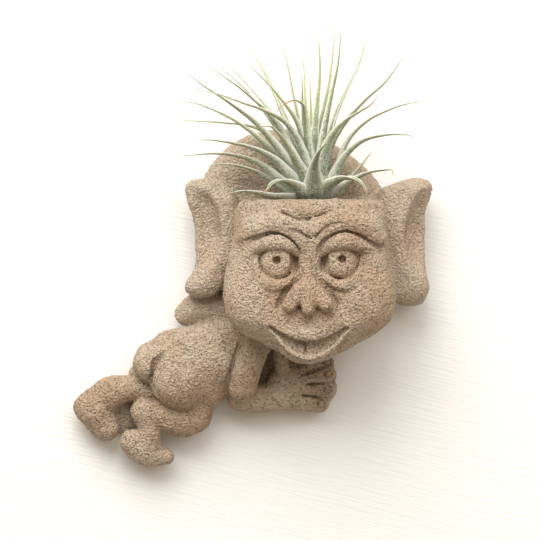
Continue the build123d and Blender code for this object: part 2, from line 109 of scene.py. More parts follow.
class HolderHead(bpy.types.PropertyGroup):
    """Sizes of the head, its hollow and its face."""

    width: length("Width", "Across the cheeks", 65.0)
    side_round: length("Side round", "How far in the face starts to turn back at its edges", 13.0)
    rim_round: length("Rim round", "Softness of the rim", 3.6)
    skull_width: length("Skull width", "Across the disc behind the plant", 72.5)
    skull_height: length("Skull height", "Height of the disc behind the plant", 61.0)
    skull_thickness: length("Skull thickness", "Thickness of the disc behind the plant", 13.4)
    hollow_width: length("Hollow width", "Across the hollow at its rim", 46.0)
    hollow_length: length("Hollow length", "Front to back at its rim", 22.0)
    hollow_drop: length("Hollow drop", "From the rim to the floor", 26.0)
    hollow_floor_width: length("Floor width", "Across the hollow's floor", 28.0)
    hollow_floor_length: length("Floor length", "Front to back on the floor", 13.0)
    eyeball: length("Eyeball radius", "Radius of an eyeball", 6.0)
    pupil: length("Pupil radius", "Radius of the hole in an eyeball", 1.6)
    nose: length("Nose radius", "Radius of the nose's bulb", 4.8)


class HolderClay(bpy.types.PropertyGroup):
    """How the clay is worked and what it looks like when fired."""

    step: length("Grid step", "Spacing of the grid that the clay is shaped on", 0.4)
    quick_step: length("Quick grid step", "The same for a quick look", 0.8)
    dent_size: length("Dent size", "Across the dents that fingers leave", 7.0)
    dent_depth: length("Dent depth", "Depth of those dents", 0.45)
    grain_size: length("Grain size", "Across the lumps of grog under the skin", 1.2)
    grain_depth: length("Grain depth", "Height of those lumps", 0.26)
    pit_size: length("Pit size", "Across the pits that sponging opens", 1.4)
    pit_depth: length("Pit depth", "Depth of those pits", 0.35)
    body: colour("Clay", "The fired clay", "#DCC7AE")
    warm: colour("Warm clay", "Where the clay fired warmer", "#D2B598")
    # This colour is the real grit, and also painted light: it paints the lumps in the light paler near the
    # wall.
    grit_and_painted_light: colour("Grit", "Pale grains of grog, and slip left unsponged", "#E0CFBA")
    # Painted shade: the dark in the pits stands in for their shade. The same colour also darkens the
    # mottling at random.
    pit: colour("Pits", "The bottom of pits", "#53402D")
    roughness: amount(
        "Roughness", "Dry unglazed clay is close to matt", 0.92, max=1.0, subtype="FACTOR"
    )


class HolderPlant(bpy.types.PropertyGroup):
    """Sizes and colours of the tillandsia."""

    leaf_width: length("Leaf width", "Across a full leaf at its base", 6.2)
    leaf_thickness: length("Leaf thickness", "Through a leaf at its base", 1.1)
    channel: amount(
        "Channel", "Rise of a leaf's edges, as a share of its width", 0.34, max=1.0, subtype="FACTOR"
    )
    points_along: bpy.props.IntProperty(
        name="Points along", description="Rings along each leaf", default=56, min=8, max=200,
    )
    points_around: bpy.props.IntProperty(
        name="Points around", description="Points in each ring", default=14, min=6, max=48,
    )
    green: colour("Leaf", "The leaf's own green", "#86935F")
    # Painted shade: the darker green down the middle of each face of a leaf stands in for the shade in its
    # channel.
    channel_shade: colour("Shaded leaf", "The deeper green at the channel's floor", "#5E6B49")
    scale: colour("Scales", "The silver scales that cover a leaf", "#DEE0D4")
    young: colour("Young tip", "The yellow green of thin tips", "#C8D093")
    dry: colour("Dry tip", "Dried leaf", "#AC8A68")
    bark: colour("Stub", "The dry woody base", "#7A5A3C")


class HolderHanger(bpy.types.PropertyGroup):
    """Finish of the keyhole hanger and its fixings."""

    steel: colour("Zinc", "Zinc-plated steel", "#C9CBCC")
    screw: colour("Screw", "Yellow passivated steel", "#CDBD8E")
    nylon: colour("Plug", "Grey nylon", "#9B9C9A")


class HolderStage(bpy.types.PropertyGroup):
    """The wall, the lamps and the camera."""

    picture_width: length("Picture width", "Width of the wall that the camera sees", 205.4)
    camera_distance: length("Camera distance", "From the wall to the camera", 2500.0)
    wall_gap: length("Wall gap", "Between the figure's back and the wall", 0.3)
    wall: colour("Wall", "White emulsion", "#F5F4F1")
    room: colour("Room", "The warm light that the room gives back", "#FFEFD8")
    key_watts: amount("Key", "Power of the window light from the upper left", 22.0, unit="POWER")
    fill_watts: amount("Fill", "Power of the light from the front", 6.0, unit="POWER")
    back_watts: amount("Back", "Power of the lamp that shows the back", 6.0, unit="POWER")
    sky: amount("Sky", "Strength of the even light all round", 0.39)


# Shaping clay on a grid

FAR = 9.0  # millimetres: what is further from any surface isn't worked out
MARGIN = 1.5  # how far past a form and its join the clay is worked
BORDER = 5  # grid steps that are kept round a lump
SEAM_DIP = 2.6  # how steeply a seam's edge dips, in grid steps
SEAM_EDGE = 0.12  # how far past its own ground a lump runs on, as a share
SEAM_CLOSE = 3  # how steeply its skin closes there


def smooth_min(a, b, blend):
    """The lesser of two distances, rounded where they are nearly the same."""
    overlap = np.maximum(blend - np.abs(a - b), 0)
    return np.minimum(a, b) - overlap * overlap / (4 * blend)


def curve_through(rows, steps=5):
    """Points on a smooth curve through some rows of numbers."""
    rows = np.array(rows, float)
    if len(rows) < 3:
        return rows
    padded = np.vstack([2 * rows[0] - rows[1], rows, 2 * rows[-1] - rows[-2]])
    points = []
    for a, b, c, d in zip(padded, padded[1:], padded[2:], padded[3:]):
        for t in np.arange(steps) / steps:
            points.append(
                b + t * (c - a) / 2 + t * t * (a - 2.5 * b + 2 * c - d / 2)
                + t ** 3 * (1.5 * (b - c) + (d - a) / 2)
            )
    return np.array(points + [rows[-1]])


def roll(rows, press=1.0):
    """A roll of clay through rows of x, y, z and radius; press squeezes it towards the wall."""
    path = curve_through(rows)
    reach = path[:, 3:]

    def distance(x, y, z):
        nearest = None
        for (ax, ay, az, ar), (bx, by, bz, br) in zip(path, path[1:]):
            ux, uy, uz = bx - ax, (by - ay) / press, bz - az
            px, py, pz = x - ax, (y - ay) / press, z - az
            along = (px * ux + py * uy + pz * uz) / max(ux * ux + uy * uy + uz * uz, 1e-9)
            along = np.clip(along, 0, 1)
            gap = np.sqrt(
                (px - ux * along) ** 2 + (py - uy * along) ** 2 + (pz - uz * along) ** 2
            ) - (ar + (br - ar) * along)
            nearest = gap if nearest is None else np.minimum(nearest, gap)
        return nearest

    return (path[:, :3] - reach).min(0), (path[:, :3] + reach).max(0), distance


def pebble(centre, radii):
    """An egg of clay."""
    cx, cy, cz = centre
    rx, ry, rz = radii
    reach = np.array([max(rx, rz), ry, max(rx, rz)])

    def distance(x, y, z):
        across, out, up = x - cx, y - cy, z - cz
        near = np.sqrt((across / rx) ** 2 + (out / ry) ** 2 + (up / rz) ** 2)
        steep = np.sqrt((across / rx ** 2) ** 2 + (out / ry ** 2) ** 2 + (up / rz ** 2) ** 2)
        return near * (near - 1) / np.maximum(steep, 1e-6)

    return np.array(centre) - reach, np.array(centre) + reach, distance


def outline_distance(outline, x, z):
    """Distances from a closed outline in the plane of the wall, less than zero inside it."""
    x, z = x[:, None], z[None, :]
    nearest = np.full((x.shape[0], z.shape[1]), np.inf)
    inside = np.zeros(nearest.shape, bool)
    for (ax, az), (bx, bz) in zip(outline, np.roll(outline, -1, axis=0)):
        ux, uz = bx - ax, bz - az
        along = np.clip(((x - ax) * ux + (z - az) * uz) / (ux * ux + uz * uz + 1e-12), 0, 1)
        gap = (x - ax - ux * along) ** 2 + (z - az - uz * along) ** 2
        nearest = np.minimum(nearest, gap)
        if az != bz:
            crosses = ((az > z) != (bz > z)) & (x < ux * (z - az) / uz + ax)
            inside ^= crosses
    return np.where(inside, -1, 1) * np.sqrt(nearest)


def closed_curve(rows, steps=4):
    """A smooth closed curve through some points."""
    rows = np.array(rows, float)
    around = np.vstack([rows[-1:], rows, rows[:2]])
    return curve_through(around, steps)[steps:-steps - 1]


def slab(outline, near, far, edge):
    """A slab with a curved outline, between two depths, with rounded edges."""
    outline = closed_curve(outline)
    (left, low), (right, high) = outline.min(0), outline.max(0)

    def distance(x, y, z):
        across = outline_distance(outline, x[:, 0, 0], z[0, 0, :])[:, None, :]
        through = np.abs(-y - (near + far) / 2) - (far - near) / 2
        return -smooth_min(-across, -through, edge)

    return np.array([left, -far, low]), np.array([right, -near, high]), distance


class Clay:
    """A block of clay on a grid: each point's distance from the surface and the lump it is in."""

    def __init__(self, low, high, step):
        self.step = step
        self.axes = [
            np.arange(a, b + step, step).astype(np.float32) for a, b in zip(low, high)
        ]
        shape = [len(axis) for axis in self.axes]
        self.gap = np.full(shape, FAR, np.float32)
        self.lump = np.zeros(shape, np.uint8)
        self.names = [""]

    def window(self, form, join):
        """The part of the grid round a form, and the form's distances there."""
        low, high, distance = form
        spans = []
        for axis, a, b in zip(self.axes, low, high):
            start, stop = np.searchsorted(axis, (a - join - MARGIN, b + join + MARGIN))
            spans.append(slice(int(start), int(stop)))
        x, y, z = (axis[span] for axis, span in zip(self.axes, spans))
        points = x[:, None, None], y[None, :, None], z[None, None, :]
        return tuple(spans), distance(*points).astype(np.float32)

    def add(self, name, form, join):
        """Presses a form on, and smooths the join over a width."""
        spans, new = self.window(form, join)
        old = self.gap[spans]
        if name not in self.names:
            self.names.append(name)
        self.lump[spans][new < old] = self.names.index(name)
        self.gap[spans] = smooth_min(old, new, join)

    def cut(self, form, join):
        """Takes a form out, and rounds the edge over a width."""
        spans, new = self.window(form, join)
        self.gap[spans] = -smooth_min(-self.gap[spans], new, join)

    def front(self, x, z):
        """The depth of the clay's face, seen from the front."""
        i = int(round((x - self.axes[0][0]) / self.step))
        k = int(round((z - self.axes[2][0]) / self.step))
        column = self.gap[i, :, k]
        j = int(np.argmax(column < 0))
        if j == 0:
            return 0.0
        share = column[j - 1] / (column[j - 1] - column[j])
        return -float(self.axes[1][j - 1] + share * self.step)

    def piece(self, name):
        """One lump's own closed skin, which dips under its neighbours at the seams."""
        number = self.names.index(name)
        found = np.argwhere(self.lump == number)
        low = np.maximum(found.min(0) - BORDER, 0)
        high = np.minimum(found.max(0) + 1 + BORDER, self.gap.shape)
        spans = tuple(slice(a, b) for a, b in zip(low, high))
        own = (self.lump[spans] == number).astype(np.float32)
        for axis in (0, 1, 2) * 2:
            own = (np.roll(own, 1, axis) + own + np.roll(own, -1, axis)) / 3
        gap = self.gap[spans] + np.maximum(0.5 - own, 0) * SEAM_DIP * self.step
        skin = np.maximum(gap, (SEAM_EDGE - own) * self.step * SEAM_CLOSE)
        grid = openvdb.FloatGrid()
        grid.background = FAR
        grid.copyFromArray(np.ascontiguousarray(skin))
        points, _, quads = grid.convertToPolygons(isovalue=0.0, adaptivity=0.0)
        origin = np.array([axis[a] for axis, a in zip(self.axes, low)])
        return origin + points * self.step, quads[:, ::-1]


bench = {}  # what the operators pass on: the clay that is being shaped


def on_head(across_share, down_share):
    """A place on the head: shares of its width from the middle and of its height from the rim."""
    width = bpy.context.scene.holder_head.width / MM
    return HEAD_MIDDLE + across_share * width, RIM_HEIGHT - down_share * HEAD_HEIGHT


def on_figure(across_share, up_share):
    """A place on the figure: shares of its width and height."""
    across, up = FIGURE_LOW + (FIGURE_HIGH - FIGURE_LOW) * (across_share, up_share)
    return across, up


def place_at(find, across_share, other_share, depth):
    """A place in space from shares and a depth."""
    x, z = find(across_share, other_share)
    return np.array([x, -depth, z])


def pebble_at(find, across_share, other_share, depth, radii):
    """An egg of clay at a place."""
    return pebble(place_at(find, across_share, other_share, depth), radii)


def head_roll(rows):
    """A roll through places on the head, each with its depth and radius."""
    return roll([(*place_at(on_head, a, d, depth), r) for a, d, depth, r in rows])


def figure_roll(rows, press=1.0):
    """A roll through places on the figure, each with its depth and radius."""
    return roll([(*place_at(on_figure, a, u, depth), r) for a, u, depth, r in rows], press)


def laid_on(find, rows):
    """A roll laid on the clay's face: rows of shares, its radius and how far it stands out."""
    clay, points = bench["clay"], []
    for across, other, radius, proud in rows:
        x, z = find(across, other)
        points.append((x, -(clay.front(x, z) + proud - radius), z, radius))
    return roll(points)


def scored(find, rows):
    """What a tool takes out along a line on the clay's face: rows of shares, radius and depth."""
    return laid_on(find, [(a, b, radius, 2 * radius - depth) for a, b, radius, depth in rows])


# How wide each join or edge is smoothed, in millimetres.
JOIN = {
    "head": 0.5, "skull": 3.0, "skull dent": 5.0, "hollow": 2.4,
    "ear": 2.5, "ear knob": 3.0, "ear scoop": 1.8,
    "cheek": 6.0, "valley": 3.6, "socket": 3.5, "eyeball": 0.5, "eye corner": 1.2, "pupil": 0.6,
    "brow": 3.2, "upper lid": 0.6, "lower lid": 0.7, "eye groove": 0.5, "brow crease": 1.0,
    "wrinkle": 0.4, "frown": 2.2, "frown crease": 0.6, "fold": 2.4, "furrow": 0.7,
    "saddle": 2.5, "nose hollow": 1.6, "bridge": 2.5, "nose": 0.9, "nostril": 0.7,
    "muzzle": 3.4, "upper lip": 2.6, "lower lip": 1.6, "under lip": 0.5, "philtrum": 1.8,
    "mouth": 0.6, "tooth": 0.3, "chin": 3.0, "chin crease": 0.6,
    "trunk": 2.0, "flank": 3.0, "buttock": 1.8, "cleft": 1.0, "hip": 3.0,
    "thigh": 0.9, "right leg": 1.4, "left calf": 1.2, "left foot": 2.0,
    "arm": 1.2, "arm crease": 1.0, "forearm": 0.8, "palm": 2.0,
    "finger": 1.6, "slot": 0.3, "nail": 0.2, "thumb": 0.8,
    "plate": 0.3, "bore": 0.4,
}

# The block of clay, and how far it goes past the figure: at its sides, its front and its back.
BLOCK_ROOM, BLOCK_FRONT, BLOCK_BACK = 3.0, 56.0, 2.0


class HOLDER_OT_wedge(bpy.types.Operator):
    """Lay out the block of clay that every lump is shaped on"""

    bl_idname = "holder.wedge"
    bl_label = "Wedge the clay"

    def execute(self, context):
        clay = context.scene.holder_clay
        step = clay.step / MM
        low = [FIGURE_LOW[0] - BLOCK_ROOM, -BLOCK_FRONT, FIGURE_LOW[1] - BLOCK_ROOM]
        high = [FIGURE_HIGH[0] + BLOCK_ROOM, BLOCK_BACK, FIGURE_HIGH[1] + BLOCK_ROOM]
        bench["clay"] = Clay(low, high, step)
        return {"FINISHED"}


# The head, its hollow and the disc behind the plant

HEAD_OUTLINE = [
    (-0.4, -0.12), (-0.415, 0.03), (-0.43, 0.105), (-0.432, 0.182), (-0.442, 0.266), (-0.469, 0.385),
    (-0.484, 0.483), (-0.49, 0.58), (-0.48, 0.678), (-0.445, 0.755), (-0.39, 0.818), (-0.314, 0.86),
    (-0.227, 0.909), (-0.14, 0.957), (-0.059, 0.99), (0.015, 1), (0.089, 0.985), (0.19, 0.943),
    (0.291, 0.881), (0.378, 0.832), (0.452, 0.762), (0.492, 0.685), (0.504, 0.58), (0.492, 0.455),
    (0.469, 0.343), (0.455, 0.231), (0.445, 0.105), (0.43, 0.03), (0.42, -0.12),
]
# Depth as a share of the head's, then the outline's width and height there.
HEAD_SLICES = [(0, 0.8, 0.76), (0.35, 0.93, 0.89), (0.65, 1, 0.98), (0.8, 1, 1)]
# The face is domed: how far it falls back at its sides, over its forehead and over its chin.
SIDE_DROP, SIDE_POWER = 7.0, 2.4
FOREHEAD_DROP, FOREHEAD_SHARE = 2.6, 0.22
CHIN_DROP, CHIN_START, CHIN_SHARE, CHIN_POWER = 3.0, 0.72, 0.28, 1.5
FACE_SKIN = 0.4  # room for the grain in front of the dome
TABLE_STEP, TABLE_ROOM, TABLE_TOP = 0.5, 16.0, 30.0  # the outline's table of distances
TABLE_END = 1.001  # it is read to just short of its last row
RIM_TRIM = 0.9  # how far under the stub's top the rim is cut off
HEAD_REACH, OVERHEAD_REACH, FRONT_REACH = 0.75, 0.5, 4.0  # what is trimmed off over the rim
SKULL_CENTRE = (-0.082, 0.043)
SKULL_SLOPE, SLOPE_TURN = 0.15, 52.0  # how much lower it is at its upper right, and the angle
SKULL_BACK, SKULL_ROUND, SKULL_POINTS = 6.0, 9.5, 24
SKULL_DENTS = [(-0.32, -0.02, 9.0, 2.0), (0.1, -0.2, 10.0, 1.2)]  # places, radius and depth
HOLLOW_SHIFT = 0.02  # how far left of the stub its middle is, as a share of the head's width
HOLLOW_FLARE = 1.2  # it goes on widening over the rim, up to this share of its depth
HOLLOW_ROUND, HOLLOW_RISE = 3.0, 26.0  # its floor's edge, and how far over the rim it is cut


def head_block():
    """The pot's body: the face's outline carried back to the wall, with a domed front."""
    width = bpy.context.scene.holder_head.width / MM
    side_round = bpy.context.scene.holder_head.side_round / MM
    outline = closed_curve([on_head(*place) for place in HEAD_OUTLINE])
    (left, low), (right, high) = outline.min(0), outline.max(0)
    grid_x = np.arange(left - TABLE_ROOM, right + TABLE_ROOM, TABLE_STEP)
    grid_z = np.arange(low - TABLE_ROOM, high + TABLE_TOP, TABLE_STEP)
    table = outline_distance(outline, grid_x, grid_z)
    slices = np.array(HEAD_SLICES)

    def look_up(x, z):
        i = np.clip((x - grid_x[0]) / TABLE_STEP, 0, len(grid_x) - TABLE_END)
        k = np.clip((z - grid_z[0]) / TABLE_STEP, 0, len(grid_z) - TABLE_END)
        i0, k0 = i.astype(int), k.astype(int)
        across = table[i0] * (1 - i + i0)[:, None] + table[i0 + 1] * (i - i0)[:, None]
        return across[:, k0] * (1 - k + k0) + across[:, k0 + 1] * (k - k0)

    def distance(x, y, z):
        x, y, z = x[:, 0, 0], y[0, :, 0], z[0, 0, :]
        out = np.empty((len(x), len(y), len(z)), np.float32)
        across = np.abs(x - HEAD_MIDDLE) / width
        down = (RIM_HEIGHT - z) / HEAD_HEIGHT
        forehead = FOREHEAD_DROP * np.maximum(FOREHEAD_SHARE - down, 0) / FOREHEAD_SHARE
        chin = CHIN_DROP * (np.maximum(down - CHIN_START, 0) / CHIN_SHARE) ** CHIN_POWER
        dome = SIDE_DROP * across[:, None] ** SIDE_POWER + forehead[None, :] + chin[None, :]
        face = HEAD_DEPTH - FACE_SKIN - dome
        for j, wall_distance in enumerate(-y):
            share = max(wall_distance, 0) / HEAD_DEPTH
            wide = np.interp(share, slices[:, 0], slices[:, 1])
            tall = np.interp(share, slices[:, 0], slices[:, 2])
            side = look_up(
                HEAD_MIDDLE + (x - HEAD_MIDDLE) / wide, RIM_HEIGHT + (z - RIM_HEIGHT) / tall
            )
            side = -side * min(wide, tall)
            out[:, j, :] = -smooth_min(side, face - wall_distance, side_round)
        return out

    return np.array([left, -HEAD_DEPTH, low]), np.array([right, 0, high]), distance


def above(height):
    """Everything over a height, round the head."""
    left = on_head(-HEAD_REACH, 0)[0]
    right, high = on_head(HEAD_REACH, -OVERHEAD_REACH)
    low = np.array([left, -HEAD_DEPTH - FRONT_REACH, height])
    return low, np.array([right, 0, high]), lambda x, y, z: (height - z) + 0 * x + 0 * y


def hollow():
    """The oval well that takes the plant, narrower at its floor."""
    head = bpy.context.scene.holder_head
    cx, cy = HOLLOW_MIDDLE[:2] - (HOLLOW_SHIFT * head.width / MM, 0)
    drop = head.hollow_drop / MM
    floor = RIM_HEIGHT - drop
    top = np.array([head.hollow_width, head.hollow_length]) / MM / 2
    foot = np.array([head.hollow_floor_width, head.hollow_floor_length]) / MM / 2

    def distance(x, y, z):
        up = np.clip((z - floor) / drop, 0, HOLLOW_FLARE)
        rx, ry = foot[0] + (top[0] - foot[0]) * up, foot[1] + (top[1] - foot[1]) * up
        side = (np.sqrt(((x - cx) / rx) ** 2 + ((y - cy) / ry) ** 2) - 1) * ry
        return -smooth_min(-side, z - floor, HOLLOW_ROUND)

    low = np.array([cx - top[0], cy - top[1], floor])
    return low, np.array([cx + top[0], cy + top[1], RIM_HEIGHT + HOLLOW_RISE]), distance


def skull_outline(head):
    """The disc's outline: an oval that slopes down to its upper right."""
    x, z = on_head(*SKULL_CENTRE)
    outline = []
    for turn in np.linspace(0, 2 * math.pi, SKULL_POINTS, endpoint=False):
        slope = max(0.0, math.cos(turn - math.radians(SLOPE_TURN))) ** 3
        size = 1 - SKULL_SLOPE * slope
        outline.append((
            x + head.skull_width / MM / 2 * math.cos(turn) * size,
            z + head.skull_height / MM / 2 * math.sin(turn) * size,
        ))
    return outline


class HOLDER_OT_head(bpy.types.Operator):
    """Shape the head as a pot, with the disc that rises behind the plant"""

    bl_idname = "holder.head"
    bl_label = "Head pot"

    def execute(self, context):
        clay, head = bench["clay"], context.scene.holder_head
        clay.add("head_pot", head_block(), JOIN["head"])
        clay.cut(above(RIM_HEIGHT - RIM_TRIM), head.rim_round / MM)
        thick = head.skull_thickness / MM
        disc = slab(skull_outline(head), -SKULL_BACK, thick, SKULL_ROUND)
        clay.add("head_pot", disc, JOIN["skull"])
        for across, down, radius, depth in SKULL_DENTS:
            dent = pebble_at(on_head, across, down, thick + radius - depth, (radius,) * 3)
            clay.cut(dent, JOIN["skull dent"])
        clay.cut(hollow(), JOIN["hollow"])
        return {"FINISHED"}


# The ears: outlines, and then places on the head, each with its depth and radius in millimetres.

EAR_ROUND, EAR_SKIN = 6.0, 1.0  # its edges' rounding, and how far its face is set back
LEFT_EAR_OUTLINE = [
    (-0.715, -0.067), (-0.696, -0.097), (-0.629, -0.113), (-0.573, -0.103), (-0.518, -0.061), (-0.43, 0),
    (-0.42, 0.18), (-0.43, 0.342), (-0.465, 0.445), (-0.493, 0.509), (-0.536, 0.579), (-0.592, 0.598),
    (-0.659, 0.595), (-0.706, 0.566), (-0.715, 0.534), (-0.693, 0.49), (-0.666, 0.445), (-0.653, 0.374),
    (-0.659, 0.214), (-0.675, 0.105), (-0.7, 0.041), (-0.713, -0.023),
]
LEFT_SCOOP = [
    (-0.672, -0.04, 21.5, 2.2), (-0.612, 0.035, 20.5, 3.6), (-0.583, 0.15, 19.8, 4.6),
    (-0.58, 0.266, 20.2, 4.4), (-0.603, 0.372, 21, 3), (-0.64, 0.44, 22, 1.6),
]
LEFT_EAR_KNOBS = [
    [(-0.49, 0.05, 16.5, 4), (-0.484, 0.266, 17.5, 3.8), (-0.512, 0.37, 18.5, 3.4),
     (-0.56, 0.45, 18.5, 3.6)],
    [(-0.645, 0.53, 16, 3.6), (-0.595, 0.52, 18, 4), (-0.55, 0.5, 17, 3.6)],
]
RIGHT_EAR_OUTLINE = [
    (0.413, -0.03), (0.479, -0.074), (0.55, -0.105), (0.604, -0.116), (0.67, -0.11), (0.708, -0.093),
    (0.72, -0.062), (0.71, -0.012), (0.688, 0.05), (0.676, 0.1), (0.676, 0.205), (0.673, 0.329),
    (0.675, 0.422), (0.694, 0.491), (0.701, 0.546), (0.686, 0.596), (0.658, 0.637), (0.586, 0.653),
    (0.514, 0.633), (0.45, 0.577), (0.42, 0.38), (0.41, 0.18),
]
RIGHT_SCOOP = [
    (0.685, -0.03, 20.5, 1.4), (0.655, 0.07, 20.2, 3.8), (0.638, 0.2, 19.8, 5), (0.642, 0.329, 20.2, 4.6),
    (0.664, 0.43, 21.5, 2.4),
]
RIGHT_EAR_KNOBS = [
    [(0.6, -0.02, 17, 4.2), (0.545, 0.12, 17.5, 3.6), (0.54, 0.3, 17.5, 3.6), (0.565, 0.42, 17.5, 4),
     (0.6, 0.53, 17, 4.6)],
]
EARS = {
    "left_ear": (LEFT_EAR_OUTLINE, LEFT_EAR_KNOBS, LEFT_SCOOP),
    "right_ear": (RIGHT_EAR_OUTLINE, RIGHT_EAR_KNOBS, RIGHT_SCOOP),
}


class HOLDER_OT_ears(bpy.types.Operator):
    """Stick on the ears and press a thumb down each one"""

    bl_idname = "holder.ears"
    bl_label = "Ears"

    def execute(self, context):
        clay = bench["clay"]
        near, far = -node_box("left_ear")[1][1], -node_box("left_ear")[0][1]
        for name, (outline, knobs, scoop) in EARS.items():
            outline = [on_head(*place) for place in outline]
            clay.add(name, slab(outline, near, far - EAR_SKIN, EAR_ROUND), JOIN["ear"])
            for rows in knobs:
                clay.add(name, head_roll(rows), JOIN["ear knob"])
            clay.cut(head_roll(scoop), JOIN["ear scoop"])
        return {"FINISHED"}


# The face: rows are places on the head, with a depth from the wall and a radius. Where a tool has
# scored or something is laid on, they are a radius and a depth or a height on the face. What is
# pressed with a ball has its middle's depth and its radii. All of these are in millimetres.

EYES = {"left": (-0.183, 0.394), "right": (0.186, 0.392)}
PUPILS = {"left": (-0.185, 0.379), "right": (0.191, 0.372)}
PUPIL_DEPTHS = (44.2, 48.0)
EYEBALL_DEPTHS, EYEBALL_ROUND = (36.0, 46.2), 0.55  # its edge's rounding, as a share of its radius
TWELFTHS = np.linspace(0, 2 * math.pi, 12, endpoint=False)
SOCKET = (48.6, (11.4, 6.6, 10.4))
BROWS = {
    "left": [(-0.372, 0.232, 42, 2.4), (-0.31, 0.19, 43.2, 3.3), (-0.2, 0.165, 44, 3.3),
        (-0.105, 0.2, 44.2, 3), (-0.045, 0.26, 43.6, 2.4)],
    "right": [(0.055, 0.265, 43.6, 2.4), (0.125, 0.19, 44.2, 3), (0.217, 0.15, 44, 3.3),
        (0.33, 0.178, 43.2, 3.4), (0.408, 0.24, 40.8, 2.5)],
}
UPPER_LIDS = {
    "left": [(-0.325, 0.325, 42.4, 1.4), (-0.27, 0.287, 44.2, 2.7), (-0.193, 0.27, 45.4, 3),
        (-0.119, 0.294, 45, 2.4), (-0.07, 0.334, 43.2, 1.4)],
    "right": [(0.072, 0.335, 43.2, 1.5), (0.122, 0.288, 45.2, 2.7), (0.205, 0.264, 45.7, 3.3),
        (0.292, 0.29, 44.6, 2.8), (0.372, 0.328, 42.2, 1.3)],
}
LOWER_LIDS = {
    "left": [(-0.306, 0.392, 42.8, 1.3), (-0.283, 0.47, 43.9, 1.8), (-0.23, 0.517, 44.6, 2),
        (-0.163, 0.524, 44.6, 2), (-0.108, 0.496, 43.4, 1.7), (-0.076, 0.445, 41.2, 1.2)],
    "right": [(0.082, 0.448, 41.4, 1.2), (0.118, 0.5, 43.4, 1.7), (0.175, 0.525, 44.6, 2),
        (0.229, 0.519, 44.6, 2), (0.281, 0.477, 43.9, 1.8), (0.306, 0.41, 42.8, 1.2)],
}
# Under each eyeball, and round the lower lid: where a tool has parted them.
EYE_GROOVES = {
    "left": [(-0.281, 0.345, 0.45, 0.9), (-0.284, 0.395, 0.5, 1.3), (-0.272, 0.44, 0.5, 1.4),
        (-0.25, 0.466, 0.55, 1.7), (-0.224, 0.485, 0.6, 2), (-0.184, 0.494, 0.6, 2),
        (-0.144, 0.485, 0.6, 1.9), (-0.108, 0.455, 0.5, 1.5)],
    "right": [(0.104, 0.448, 0.5, 1.5), (0.145, 0.483, 0.6, 1.9), (0.185, 0.492, 0.6, 2),
        (0.225, 0.483, 0.6, 2), (0.254, 0.462, 0.55, 1.7), (0.276, 0.43, 0.5, 1.4), (0.288, 0.39, 0.5, 1.3),
        (0.286, 0.35, 0.45, 0.9)],
}
LID_GROOVES = {
    "left": [(-0.338, 0.42, 0.5, 0.6), (-0.316, 0.482, 0.6, 1.4), (-0.262, 0.54, 0.6, 1.7),
        (-0.18, 0.563, 0.6, 1.6), (-0.115, 0.545, 0.5, 1.2), (-0.085, 0.51, 0.4, 0.6)],
    "right": [(0.078, 0.5, 0.5, 0.9), (0.115, 0.54, 0.6, 1.4), (0.185, 0.562, 0.6, 1.7),
        (0.25, 0.548, 0.6, 1.7), (0.308, 0.5, 0.6, 1.5), (0.336, 0.44, 0.4, 0.8)],
}
EYE_CORNERS = {"left": (-0.078, 0.39), "right": (0.084, 0.39)}
EYE_CORNER = (45.2, (1.7, 5.6, 4.6))
BROW_CREASES = {
    "left": [(-0.38, 0.272, 0.6, 0.6), (-0.328, 0.253, 1, 1.6), (-0.261, 0.226, 1.1, 2.3),
        (-0.187, 0.216, 1.1, 2.5), (-0.125, 0.238, 1.1, 2.6), (-0.072, 0.288, 0.9, 2.1),
        (-0.05, 0.34, 0.6, 0.9)],
    "right": [(0.05, 0.34, 0.6, 0.9), (0.062, 0.296, 0.9, 1.9), (0.095, 0.252, 1.1, 2.5),
        (0.155, 0.22, 1.1, 2.6), (0.228, 0.21, 1.1, 2.5), (0.302, 0.238, 1.1, 2.3),
        (0.368, 0.284, 0.9, 1.9), (0.425, 0.3, 0.6, 1)],
}
# The crease that runs out from the right eye's corner.
WRINKLE = [
    (0.285, 0.362, 0.4, 0.5), (0.31, 0.325, 0.5, 0.9), (0.335, 0.318, 0.4, 0.6), (0.385, 0.326, 0.3, 0.3),
]
FROWN = [
    (-0.2, 0.152, 2, 0.3), (-0.119, 0.152, 2.2, 0.9), (-0.052, 0.176, 2.2, 1.3), (0.012, 0.208, 1.9, 1.4),
    (0.055, 0.182, 2, 1.3), (0.11, 0.138, 2.2, 1), (0.18, 0.105, 2.2, 0.4),
]
FROWN_CREASE = [
    (-0.115, 0.196, 0.4, 0.4), (-0.0523, 0.214, 0.6, 1.1), (0.012, 0.243, 0.7, 1.7),
    (0.06, 0.214, 0.6, 1.4), (0.111, 0.171, 0.5, 1.2), (0.16, 0.158, 0.4, 0.9), (0.212, 0.158, 0.3, 0.3),
]
FURROW = [
    (-0.155, 0.096, 0.6, 1.3), (-0.132, 0.112, 0.9, 2.4), (-0.095, 0.132, 0.9, 2.4),
    (-0.046, 0.143, 0.8, 2), (0.015, 0.126, 0.6, 1.6), (0.08, 0.106, 0.6, 1.4), (0.14, 0.084, 0.5, 0.9),
    (0.21, 0.07, 0.4, 0.3),
]
FURROW_FOLD = [
    (-0.17, 0.06, 1.6, 0.2), (-0.1, 0.078, 2, 1), (-0.02, 0.085, 2, 1.2), (0.07, 0.062, 1.9, 1),
    (0.16, 0.04, 1.6, 0.3),
]
CHEEKS = [(-0.31, 0.63), (0.32, 0.62)]
CHEEK = (38.5, (9.0, 7.0, 9.0))
CHEEK_VALLEYS = [(-0.205, 0.63), (0.195, 0.63)]
CHEEK_VALLEY = (48.6, (6.6, 4.4, 8.0))
SADDLE = (-0.004, 0.45, 50.4, (4.6, 4.6, 5.0))
BRIDGE = [(0.003, 0.27, 41.2, 2.8), (0, 0.36, 41.2, 3.1), (-0.006, 0.455, 41.4, 3.2)]
